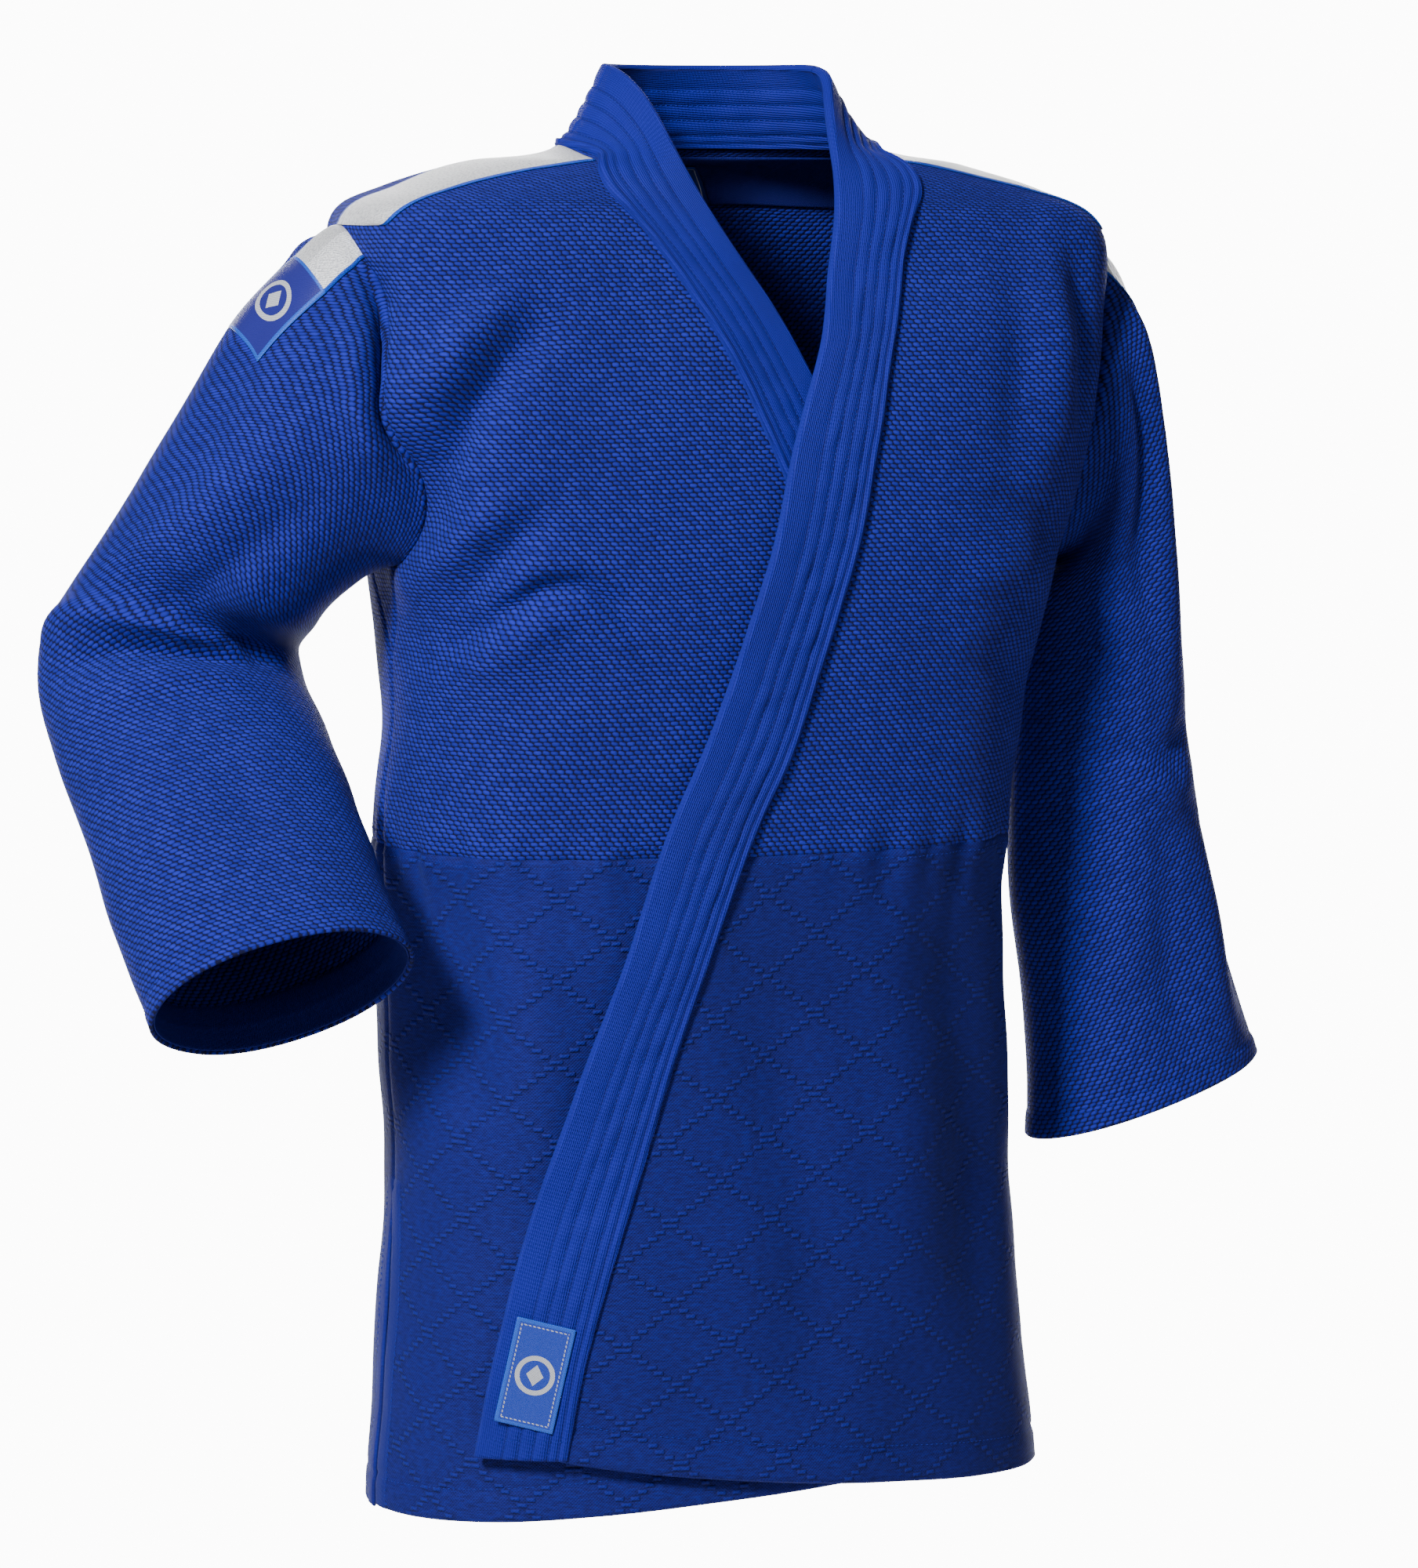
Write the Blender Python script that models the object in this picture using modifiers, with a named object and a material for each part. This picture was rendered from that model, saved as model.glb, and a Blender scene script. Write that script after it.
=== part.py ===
"""Judo jacket, hanging as it is worn, with the left front crossed over the right.

Metres, +Z up, +X to the wearer's left, the front facing -Y. The origin is the point on the
shoulder line, in the middle of the neck, where a hanger or a wearer's shoulders carry it.

The torso is one lofted surface of horizontal rings. A place on it is (angle, level): the
angle is 0 at the middle of the front, 90 at the wearer's left and 180 at the back, and the
level counts rings from the hem (0) to the collar's top edge (13). Every panel is a patch of
that surface, and each sleeve is a loft that starts at its armhole.
"""
import math

import bmesh
import bpy
from mathutils import Vector

# ---------------------------------------------------------------- driving dimensions
CLOTH = 0.0025            # thickness of the body cloth
THIN = 0.0010             # thickness of tapes, labels and linings
GAP = 0.0004              # space between pieces that touch
LAPEL_THICK = 0.0066      # lapel and collar, cover and core together
LAPEL_COVER = 0.0011      # cloth of the lapel's cover
LAPEL_MID = 0.0020        # middle of the lapel, measured out from the inside of the body
LIFT = 0.0088             # how far the left front stands out over the right one
WAIST_Z = -0.407          # seam between body and skirt
VENT_Z = -0.614           # top of the side vents
LAPEL_END_Z = -0.757      # bottom of the left lapel
RIGHT_HEM_Z = -0.774      # bottom of the right lapel
FACING = 0.045            # width of the facing inside each cuff
TAPE_X = (0.103, 0.229)   # shoulder tape, from the collar to the shoulder tip
TAPE_Y = (-0.056, 0.002)
LINING_GAP = 0.0018       # space between the back and its loose inner layers
TAPE_STAND = 0.0026       # space under the tape, which bridges the shoulder seam
LABEL_SIZE = (0.034, 0.062)
PATCH_TURN = (0.50, 0.39) # shoulder patch: from the top of the sleeve forward, in turns
PATCH_RINGS = (0.50, 1.10)  # and down the sleeve, in rings

# Rings: height, half width, half depth in front, half depth behind, squareness, lean in x.
RINGS = (
    (-0.806, 0.202, 0.131, 0.126, 0.15, -0.013),
    (-0.700, 0.193, 0.128, 0.122, 0.15, -0.016),
    (-0.610, 0.184, 0.125, 0.119, 0.15, -0.019),
    (-0.510, 0.187, 0.123, 0.117, 0.15, -0.021),
    (-0.410, 0.190, 0.124, 0.118, 0.16, -0.018),
    (-0.330, 0.193, 0.127, 0.121, 0.20, -0.009),
    (-0.240, 0.206, 0.128, 0.126, 0.28, -0.002),
    (-0.165, 0.223, 0.120, 0.124, 0.36, -0.002),
    (-0.100, 0.231, 0.104, 0.114, 0.40, 0.0),
    (-0.044, 0.234, 0.086, 0.098, 0.40, 0.0),
    (-0.024, 0.200, 0.078, 0.089, 0.32, 0.0),
    (-0.011, 0.155, 0.069, 0.079, 0.15, 0.0),
    (0.000, 0.097, 0.060, 0.067, 0.0, 0.0),
    (0.047, 0.069, 0.047, 0.052, 0.0, 0.0),
)
ARMPIT = 6.0              # level of the armhole's lowest point
TIP = 9.0                 # level of the shoulder tip
NECK = 12.0               # level of the neck seam
COLLAR_TOP = 13.0
ARMHOLE_ANGLE = 26.0      # how far the armhole cuts forward and back from the side
GUSSET_ANGLE = 9.0        # half the gusset's width at the armpit
GUSSET_FOOT = 5.35        # level of the gusset's lower point
SEAM_ANGLE = 0.16         # degrees left each side of a seam between panels
SHOULDER_DROP = 0.008     # how much lower the left shoulder hangs

# Collar and lapel round the neck: seam angle, seam height, free-edge angle, free-edge height.
NECK_PATH = (
    (180.0, 0.000, 180.0, 0.047),
    (150.0, 0.000, 150.0, 0.047),
    (120.0, 0.000, 120.0, 0.047),
    (92.0, 0.000, 92.0, 0.047),
    (68.0, -0.001, 70.0, 0.046),
    (48.0, -0.004, 52.0, 0.036),
    (38.0, -0.008, 38.0, 0.018),
    (27.0, -0.016, 30.0, 0.000),
    (19.0, -0.030, 15.0, -0.015),
)
# Lapels on the chest and skirt: height, seam x and free-edge x, each towards its own side.
LEFT_PATH = (
    (-0.050, 0.084, 0.040),
    (-0.085, 0.074, 0.030),
    (-0.125, 0.061, 0.017),
    (-0.170, 0.049, -0.001),
    (-0.230, 0.033, -0.018),
    (-0.300, 0.009, -0.042),
    (-0.365, -0.016, -0.068),
    (-0.455, -0.053, -0.099),
    (-0.540, -0.082, -0.129),
    (-0.620, -0.106, -0.153),
    (-0.694, -0.127, -0.169),
    (-0.757, -0.139, -0.180),
)
RIGHT_PATH = (
    (-0.050, 0.078, 0.034),
    (-0.085, 0.056, 0.011),
    (-0.128, 0.032, -0.011),
    (-0.169, 0.015, -0.030),
    (-0.230, -0.010, -0.057),
    (-0.320, -0.045, -0.092),
    (-0.410, -0.073, -0.118),
    (-0.500, -0.091, -0.134),
    (-0.600, -0.104, -0.146),
    (-0.700, -0.116, -0.157),
    (-0.774, -0.124, -0.165),
)

# Sleeve rings after the armhole: centre, direction along the arm, half width, half depth,
# and how far the outer side is turned down to the back, in degrees.
LEFT_RINGS = (
    ((0.2425, 0.002, -0.171), (0.96, 0.00, -0.27), 0.0862, 0.071, 0.0),
    ((0.2520, 0.002, -0.251), (0.61, 0.00, -0.79), 0.048, 0.067, 0.0),
    ((0.2600, 0.000, -0.360), (0.08, -0.02, -1.00), 0.048, 0.062, 0.0),
    ((0.2705, -0.003, -0.470), (0.14, -0.03, -1.00), 0.059, 0.057, 0.0),
    ((0.2850, -0.008, -0.586), (0.30, -0.05, -0.95), 0.078, 0.053, 0.0),
)
RIGHT_RINGS = (
    ((-0.2580, 0.010, -0.174), (-0.92, 0.10, -0.39), 0.0849, 0.072, 0.0),
    ((-0.2930, 0.036, -0.234), (-0.56, 0.34, -0.76), 0.066, 0.068, 0.0),
    ((-0.3190, 0.072, -0.300), (-0.12, -0.19, -0.97), 0.077, 0.064, 2.0),
    ((-0.3130, -0.008, -0.389), (0.06, -0.66, -0.75), 0.077, 0.058, 9.0),
    ((-0.3030, -0.093, -0.476), (0.06, -0.68, -0.73), 0.0760, 0.054, 16.0),
)
ELBOW = 3.0               # ring of the sleeve where the elbow bends
CUFF = 5.0                # last ring of a sleeve
# Where the bend closes and opens, and the cloth that the elbow band takes up there (in rings).
LEFT_BEND = {"angle": 90.0, "closing": 0.56, "opening": 0.03}
RIGHT_BEND = {"angle": 60.0, "closing": 0.24, "opening": 0.30}

LEFT, RIGHT = 1.0, -1.0

# ---------------------------------------------------------------- colours
BLUE = (0.012, 0.040, 0.300)
BLUE_LIGHT = (0.016, 0.060, 0.360)
BLUE_DARK = (0.008, 0.026, 0.200)
AZURE = (0.020, 0.120, 0.620)
SILVER = (0.520, 0.540, 0.580)
WHITE = (0.700, 0.710, 0.720)

parts = bpy.data.collections.new("judo_jacket")


def make_material(name, colour, roughness, metallic=0.0):
    material = bpy.data.materials.new(name)
    material.use_nodes = True
    shader = material.node_tree.nodes["Principled BSDF"]
    shader.inputs["Base Color"].default_value = (*colour, 1.0)
    shader.inputs["Roughness"].default_value = roughness
    shader.inputs["Metallic"].default_value = metallic
    return material


def clear_scene():
    for item in list(bpy.data.objects):
        bpy.data.objects.remove(item, do_unlink=True)


# ---------------------------------------------------------------- curves through points
def smooth_through(rows, place):
    """Catmull-Rom value of a list of equal-length rows at a fractional index."""
    last = len(rows) - 1
    place = min(max(place, 0.0), float(last))
    index = min(int(place), last - 1)
    f = place - index
    before, here = rows[max(index - 1, 0)], rows[index]
    there, after = rows[index + 1], rows[min(index + 2, last)]
    out = []
    for a, b, c, d in zip(before, here, there, after):
        out.append(0.5 * (2 * b + (c - a) * f + (2 * a - 5 * b + 4 * c - d) * f * f
                          + (3 * b - 3 * c + d - a) * f * f * f))
    return out


def ramp(value, low, high):
    """0 at low, 1 at high, smooth between."""
    f = min(max((value - low) / (high - low), 0.0), 1.0)
    return f * f * (3.0 - 2.0 * f)


# ---------------------------------------------------------------- the torso surface
def square_off(value, squareness):
    return value * (1.0 + squareness * (1.0 - value * value))


def surface(angle, level):
    height, half_width, front, back, squareness, lean = smooth_through(RINGS, level)
    side = math.sin(math.radians(angle))
    ahead = math.cos(math.radians(angle))
    depth = front if ahead > 0 else back
    drop = SHOULDER_DROP * max(side, 0.0) ** 2
    drop *= ramp(level, ARMPIT, TIP) * (1.0 - ramp(level, TIP, NECK))
    return Vector((lean + half_width * square_off(side, squareness),
                   -depth * square_off(ahead, squareness), height - drop))


def torso(angle, level, out=0.0):
    """Point on the torso, out metres outside its inner surface."""
    step = 0.05
    around = surface(angle + 1.0, level) - surface(angle - 1.0, level)
    low = max(level - step, 0.0)
    high = min(level + step, COLLAR_TOP)
    up = surface(angle, high) - surface(angle, low)
    return surface(angle, level) + around.cross(up).normalized() * out


def level_at(height):
    low, high = 0.0, COLLAR_TOP
    for _ in range(40):
        middle = (low + high) / 2
        if smooth_through(RINGS, middle)[0] < height:
            low = middle
        else:
            high = middle
    return (low + high) / 2


def angle_at(x, level):
    """Angle of the front surface at a distance x from the middle."""
    low, high = -90.0, 90.0
    for _ in range(40):
        middle = (low + high) / 2
        if surface(middle, level).x < x:
            low = middle
        else:
            high = middle
    return (low + high) / 2


def on_shoulder(x, y):
    """Angle and level of the shoulder's upper surface at x, y on the wearer's left."""
    low, high = TIP, NECK
    for _ in range(40):
        level = (low + high) / 2
        row = smooth_through(RINGS, level)
        if row[1] < x:
            high = level
            continue
        angle = angle_at(x, level)
        if y > 0:
            angle = 180.0 - angle
        if abs(surface(angle, level).y) < abs(y):
            high = level
        else:
            low = level
    return angle, level


def armhole_angle(level):
    """Front edge of the armhole, in degrees from the middle of the front."""
    if not ARMPIT <= level < TIP:
        return 90.0
    f = (level - ARMPIT) / (TIP - ARMPIT)
    return 90.0 - ARMHOLE_ANGLE * (4.0 * f * (1.0 - f)) ** 0.6 - GUSSET_ANGLE * (1.0 - f) ** 4


# ---------------------------------------------------------------- lapel paths
def lapel_rows(side):
    """Rows of seam angle, seam level, free-edge angle, free-edge level, neck to hem."""
    rows = []
    for seam_angle, seam_z, free_angle, free_z in NECK_PATH:
        rows.append((side * seam_angle, level_at(seam_z), side * free_angle, level_at(free_z)))
    for height, seam_x, free_x in (LEFT_PATH if side == LEFT else RIGHT_PATH):
        level = level_at(height)
        rows.append((angle_at(side * seam_x, level), level, angle_at(side * free_x, level), level))
    return rows


LAPEL = {LEFT: lapel_rows(LEFT), RIGHT: lapel_rows(RIGHT)}
SIDE_OF_NECK = 3.0        # row where the collar meets the lapels


def seam_angle_at(side, level):
    """Angle of the lapel seam at a level, on the row where the seam is at that level."""
    rows = LAPEL[side]
    last = float(len(rows) - 1)
    low, high = SIDE_OF_NECK, last
    for _ in range(40):
        middle = (low + high) / 2
        if smooth_through(rows, middle)[1] > level:
            low = middle
        else:
            high = middle
    return smooth_through(rows, (low + high) / 2)[0]


def row_at_height(side, height):
    rows = LAPEL[side]
    level = level_at(height)
    low, high = SIDE_OF_NECK, float(len(rows) - 1)
    for _ in range(40):
        middle = (low + high) / 2
        if smooth_through(rows, middle)[1] > level:
            low = middle
        else:
            high = middle
    return (low + high) / 2


def left_lift(angle, level):
    """Distance that the left front stands out: none at the neck and the side seam."""
    down = ramp(-smooth_through(RINGS, level)[0], 0.050, 0.115)
    full = 25.0 + 39.0 * (1.0 - ramp(level, 1.5, ARMPIT))
    return LIFT * down * (1.0 - ramp(angle, full, full + 26.0))


# ---------------------------------------------------------------- mesh helpers
def add_object(name, mesh, material, smooth=True):
    mesh.materials.append(material)
    if smooth:
        mesh.shade_smooth()
        mesh.set_sharp_from_angle(angle=math.radians(35))
    item = bpy.data.objects.new(name, mesh)
    parts.objects.link(item)
    return item


def patch(name, place, across, along, thickness, material, pivot=None):
    """A grid sheet bent onto place(s, t) with s and t from 0 to 1, given a thickness."""
    sheet = bmesh.new()
    bmesh.ops.create_grid(sheet, x_segments=across, y_segments=along, size=0.5)
    for vert in sheet.verts:
        vert.co = place(vert.co.x + 0.5, vert.co.y + 0.5)
    bmesh.ops.recalc_face_normals(sheet, faces=sheet.faces)
    mesh = bpy.data.meshes.new(name)
    sheet.to_mesh(mesh)
    sheet.free()
    item = add_object(name, mesh, material)
    solid = item.modifiers.new("Thickness", "SOLIDIFY")
    solid.thickness = thickness
    solid.offset = 0.0
    set_pivot(item, pivot)
    return item


def tube(name, place, around, along, thickness, material, pivot=None):
    """A sheet bent round into a tube: place(turn, t), turn from 0 to 1 once round."""
    sheet = bmesh.new()
    bmesh.ops.create_grid(sheet, x_segments=around, y_segments=along, size=0.5)
    for vert in sheet.verts:
        vert.co = place(vert.co.x + 0.5, vert.co.y + 0.5)
    bmesh.ops.remove_doubles(sheet, verts=sheet.verts, dist=0.00005)
    bmesh.ops.recalc_face_normals(sheet, faces=sheet.faces)
    mesh = bpy.data.meshes.new(name)
    sheet.to_mesh(mesh)
    sheet.free()
    item = add_object(name, mesh, material)
    solid = item.modifiers.new("Thickness", "SOLIDIFY")
    solid.thickness = thickness
    solid.offset = 0.0
    set_pivot(item, pivot)
    return item


def band(name, section, along, material, pivot=None):
    """A closed outline lofted along a path: section(t) gives the outline's points."""
    shape = bmesh.new()
    rings = []
    for step in range(along + 1):
        rings.append([shape.verts.new(point) for point in section(step / along)])
    count = len(rings[0])
    for near, far in zip(rings, rings[1:]):
        for k in range(count):
            shape.faces.new((near[k], near[(k + 1) % count], far[(k + 1) % count], far[k]))
    for ring in (rings[0], rings[-1]):
        shape.faces.new(ring)
    bmesh.ops.recalc_face_normals(shape, faces=shape.faces)
    bmesh.ops.triangulate(shape, faces=[face for face in shape.faces if len(face.verts) > 4])
    mesh = bpy.data.meshes.new(name)
    shape.to_mesh(mesh)
    shape.free()
    item = add_object(name, mesh, material)
    set_pivot(item, pivot)
    return item


def set_pivot(item, pivot):
    """Puts a moving piece's origin on its joint's axis."""
    if pivot is None:
        return
    for vert in item.data.vertices:
        vert.co -= Vector(pivot)
    item.location = pivot


# ---------------------------------------------------------------- joints' places
def shoulder_pivot(side):
    return torso(side * 90.0, TIP, CLOTH)


FLAP_PIVOT = (0.150, -0.055, WAIST_Z)
TAIL_PIVOT = (-0.012, 0.121, VENT_Z)
SEAM_HALF = 0.0003        # half the space left along a straight seam


# ---------------------------------------------------------------- body panels
def gusset_half(level):
    """Half of the underarm gusset, in degrees: it widens evenly up to the armpit."""
    return GUSSET_ANGLE * max(level - GUSSET_FOOT, 0.0) / (ARMPIT - GUSSET_FOOT)


def side_edge(level, spread):
    """Side of a front panel: the side seam, the armhole or the shoulder line."""
    if level >= ARMPIT:
        return armhole_angle(level) - spread
    return 90.0 - gusset_half(level) - spread


def finer_at_start(s):
    """Spaces columns more closely at the side, where the body turns."""
    return s * (0.6 + 0.4 * s)


def finer_at_ends(s):
    return s - 0.07 * math.sin(2.0 * math.pi * s)


def body_level(t, bottom, top):
    """Level of a body panel's row, closer together round the gusset and the armhole."""
    levels = (bottom,) + BODY_LEVELS + (top,)
    place = min(t, 1.0) * (len(levels) - 1)
    index = min(int(place + 1e-6), len(levels) - 2)
    return levels[index] + (levels[index + 1] - levels[index]) * (place - index)


BODY_LEVELS = (4.45, 4.9, 5.35, 5.7, 6.0, 6.12, 6.4, 6.8, 7.25, 7.7,
               8.1, 8.5, 8.8, 9.0, 9.4, 9.9, 10.4, 10.9, 11.4)
BODY_ROWS = len(BODY_LEVELS) + 1


FRONT_TOP = 0.0012        # space under the collar, where the fronts meet its seam


def front_body(side, material):
    name = "left_front_body" if side == LEFT else "right_front_body"
    bottom = level_at(WAIST_Z + SEAM_HALF)
    top = level_at(-FRONT_TOP)

    def place(s, t):
        level = body_level(t, bottom, top)
        outer = side * side_edge(level, SEAM_ANGLE)
        inner = seam_angle_at(side, level) + side * (SEAM_ANGLE + 0.5 * ramp(level, 8.0, NECK))
        angle = outer + (inner - outer) * finer_at_start(s)
        out = CLOTH / 2
        if side == LEFT:
            out += left_lift(angle, level)
        return torso(angle, level, out)

    patch(name, place, 8, BODY_ROWS, CLOTH, material)


def front_skirt(side, material, pivot):
    name = "left_front_skirt" if side == LEFT else "right_front_skirt"
    top = level_at(WAIST_Z - SEAM_HALF)
    vent = level_at(VENT_Z)

    def place(s, t):
        outer_foot = 0.1 if side == LEFT else 0.04
        inner_foot = level_at(LAPEL_END_Z if side == LEFT else RIGHT_HEM_Z)
        foot = outer_foot + (inner_foot - outer_foot) * s ** (1.5 if side == LEFT else 1.0)
        level = foot + (top - foot) * t
        open_vent = 1.0 - ramp(level, vent - 0.4, vent)
        outer = side * (90.0 - SEAM_ANGLE - 1.3 * open_vent)
        inner = seam_angle_at(side, level) + side * SEAM_ANGLE
        angle = outer + (inner - outer) * finer_at_start(s)
        out = CLOTH / 2
        if side == LEFT:
            out += left_lift(angle, level)
        return torso(angle, level, out)

    patch(name, place, 9, 9, CLOTH, material, pivot)


def back_body(material):
    bottom = level_at(WAIST_Z + SEAM_HALF)

    def place(s, t):
        level = body_level(t, bottom, NECK - 0.03)
        edge = 180.0 - side_edge(level, SEAM_ANGLE)
        return torso(edge + (360.0 - 2.0 * edge) * finer_at_ends(s), level, CLOTH / 2)

    patch("back_body", place, 14, BODY_ROWS, CLOTH, material)


def back_panel(name, low, high, vent_spread, across, along, material, pivot=None):
    def place(s, t):
        level = low + (high - low) * t
        edge = 90.0 + SEAM_ANGLE + vent_spread
        return torso(edge + (360.0 - 2.0 * edge) * finer_at_ends(s), level, CLOTH / 2)

    patch(name, place, across, along, CLOTH, material, pivot)


def underarm_gusset(side, material):
    name = "left_underarm_gusset" if side == LEFT else "right_underarm_gusset"
    foot = GUSSET_FOOT + 0.10
    top = ARMPIT - 0.02

    def place(s, t):
        level = foot + (top - foot) * t
        half = gusset_half(level) - 2.0 * SEAM_ANGLE
        return torso(side * (90.0 + half * (2.0 * s - 1.0)), level, CLOTH / 2)

    patch(name, place, 4, 5, CLOTH, material)


def yoke_lining(material):
    """Second layer inside the back of the shoulders."""
    levels = (9.4, 9.9, 10.4, 10.9, 11.4, 11.8)

    def place(s, t):
        level = levels[round(t * (len(levels) - 1))]
        half = 64.0 - 8.0 * (1.0 - t)
        return torso(180.0 + half * (2.0 * s - 1.0), level, -LINING_GAP - THIN / 2)

    patch("yoke_lining", place, 14, len(levels) - 1, THIN, material)


def neck_label(material):
    """Size label inside the back, below the collar."""
    def place(s, t):
        return torso(180.0 + 6.0 * (2.0 * s - 1.0), 9.5 + 1.8 * t, -2 * LINING_GAP - 1.5 * THIN)

    patch("neck_label", place, 4, 4, THIN, material)


# ---------------------------------------------------------------- collar and lapels
def lapel_frame(side, row):
    """Function of the distance across the lapel (0 seam, 1 free edge) and out of its middle."""
    seam_angle, seam_level, free_angle, free_level = smooth_through(LAPEL[side], row)

    def point(across, out):
        angle = seam_angle + (free_angle - seam_angle) * across
        level = seam_level + (free_level - seam_level) * across
        lift = left_lift(angle, level) if side == LEFT else 0.0
        return torso(angle, level, LAPEL_MID + lift + out)

    return point


ACROSS_STEPS = 3          # parts of a lapel's outline across its width


def cover_outline(point, width):
    """Folded cover: outside, round the free edge and back inside, open at the seam."""
    half = LAPEL_THICK / 2
    inner = half - LAPEL_COVER
    wall = LAPEL_COVER / width
    outline = []
    for k in range(ACROSS_STEPS + 1):
        outline.append(point(k / ACROSS_STEPS, half))
    for k in range(ACROSS_STEPS, -1, -1):
        outline.append(point(k / ACROSS_STEPS, -half))
    for k in range(ACROSS_STEPS + 1):
        outline.append(point(k / ACROSS_STEPS * (1.0 - wall), -inner))
    for k in range(ACROSS_STEPS, -1, -1):
        outline.append(point(k / ACROSS_STEPS * (1.0 - wall), inner))
    return outline


def core_outline(point, width):
    """Stiffening that fills the folded cover."""
    half = LAPEL_THICK / 2 - LAPEL_COVER - 3.0 * GAP
    start = 0.004 / width
    stop = 1.0 - (LAPEL_COVER + 4.0 * GAP) / width
    outline = []
    for k in range(ACROSS_STEPS + 1):
        outline.append(point(start + (stop - start) * k / ACROSS_STEPS, half))
    for k in range(ACROSS_STEPS, -1, -1):
        outline.append(point(start + (stop - start) * k / ACROSS_STEPS, -half))
    return outline


LAPEL_WIDTH = 0.047       # typical length of an outline across the lapel


def lapel_piece(name, side, first, last, along, cover, core, pivot=None):
    def rows(t):
        return lapel_frame(side, first + (last - first) * t)

    band(name, lambda t: cover_outline(rows(t), LAPEL_WIDTH), along, cover, pivot)
    band(name + "_core", lambda t: core_outline(rows(t), LAPEL_WIDTH), along, core, pivot)


def collar(cover, core):
    """Back of the neck, between the two lapels."""
    def rows(t):
        row = SIDE_OF_NECK - SEAM_ROW
        if t <= 0.5:
            return lapel_frame(LEFT, row * (1.0 - 2.0 * t))
        return lapel_frame(RIGHT, row * (2.0 * t - 1.0))

    band("collar", lambda t: cover_outline(rows(t), LAPEL_WIDTH), 12, cover)
    band("collar_core", lambda t: core_outline(rows(t), LAPEL_WIDTH), 12, core)


SEAM_ROW = 0.006          # half the space between collar and lapel, in rows


# ---------------------------------------------------------------- sleeves
def armhole_point(side, turn):
    """Once round the armhole from the armpit: up the front, over the tip, down the back."""
    f = turn * 2.0 if turn <= 0.5 else 2.0 - turn * 2.0
    level = ARMPIT + (TIP - ARMPIT) * (0.5 - 0.5 * math.cos(math.pi * f))
    angle = 90.0 - (90.0 - armhole_angle(level)) * min(f / 0.1, 1.0)
    if turn > 0.5:
        angle = 180.0 - angle
    return torso(side * angle, level, CLOTH / 2) + Vector((side * 0.0025, 0.0, 0.0))


def ring_point(side, ring, turn):
    centre, direction, half_width, half_depth, roll = ring
    along = Vector(direction).normalized()
    sideways = Vector((side, 0.0, 0.0))
    outer = (sideways - along * sideways.dot(along)).normalized()
    if abs(along.x) > 0.5:
        upward = Vector((0.0, 0.0, 1.0))
        outer = (upward - along * upward.dot(along)).normalized()
    front = along.cross(outer) * side
    if front.y > 0:
        front = -front
    turned = math.radians(roll)
    outer, front = (outer * math.cos(turned) - front * math.sin(turned),
                    front * math.cos(turned) + outer * math.sin(turned))
    spin = 2.0 * math.pi * turn
    return Vector(centre) - outer * (half_width * math.cos(spin)) + front * (half_depth * math.sin(spin))


def sleeve_point(side, turn, ring, out=0.0):
    """Point on a sleeve: ring 0 is the armhole and ring 5 the cuff."""
    rings = LEFT_RINGS if side == LEFT else RIGHT_RINGS

    def at(turn_here, ring_here):
        rows = [tuple(armhole_point(side, turn_here % 1.0))]
        rows += [tuple(ring_point(side, row, turn_here)) for row in rings]
        return Vector(smooth_through(rows, ring_here))

    point = at(turn, ring)
    if out:
        around = at(turn + 0.01, ring) - at(turn - 0.01, ring)
        along = at(turn, min(ring + 0.05, CUFF)) - at(turn, max(ring - 0.05, 0.0))
        normal = along.cross(around).normalized() * side
        centre = sum((at(k / 4, ring) for k in range(4)), Vector()) / 4
        if normal.dot(point - centre) < 0:
            normal = -normal
        point = point + normal * out
    return point


def elbow_edge(side, turn, direction):
    """Ring where a sleeve stops short of the elbow so that the band between can crumple."""
    bend = LEFT_BEND if side == LEFT else RIGHT_BEND
    facing = math.cos(2.0 * math.pi * turn - math.radians(bend["angle"]))
    room = 0.03 + bend["closing"] * max(facing, 0.0) + bend["opening"] * max(-facing, 0.0)
    return ELBOW + direction * room


BAND_GAP = 0.050          # rings left clear at each end of the elbow band
CUFF_RING = 0.118         # length of the last ring of a sleeve


def sleeve(side, cloth, facing_cloth):
    word = "left" if side == LEFT else "right"
    shoulder = shoulder_pivot(side)
    elbow = (LEFT_RINGS if side == LEFT else RIGHT_RINGS)[2][0]
    turns = 16

    def upper(turn, t):
        stop = elbow_edge(side, turn, -1.0) - BAND_GAP
        return sleeve_point(side, turn, stop * t)

    def bend(turn, t):
        start = elbow_edge(side, turn, -1.0)
        stop = elbow_edge(side, turn, 1.0)
        return sleeve_point(side, turn, start + (stop - start) * t)

    def lower(turn, t):
        start = elbow_edge(side, turn, 1.0) + BAND_GAP
        return sleeve_point(side, turn, start + (CUFF - start) * t)

    def facing(turn, t):
        start = CUFF - FACING / CUFF_RING
        return sleeve_point(side, turn, start + (CUFF - 0.01 - start) * t, -CLOTH / 2 - GAP - THIN / 2)

    tube(f"{word}_upper_sleeve", upper, turns, 7, CLOTH, cloth, shoulder)
    tube(f"{word}_elbow_bend", bend, turns, 3, CLOTH, cloth, shoulder)
    tube(f"{word}_forearm_sleeve", lower, turns, 5, CLOTH, cloth, elbow)
    tube(f"{word}_cuff_facing", facing, turns, 2, THIN, facing_cloth, elbow)


# ---------------------------------------------------------------- trim
def shoulder_tape(side, material):
    name = "left_shoulder_tape" if side == LEFT else "right_shoulder_tape"

    def place(s, t):
        x = TAPE_X[0] + (TAPE_X[1] - TAPE_X[0]) * t
        y = TAPE_Y[0] + (TAPE_Y[1] - TAPE_Y[0]) * s
        angle, level = on_shoulder(x, y)
        return torso(side * angle, level, CLOTH + TAPE_STAND + THIN / 2)

    patch(name, place, 4, 9, THIN, material)


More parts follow.
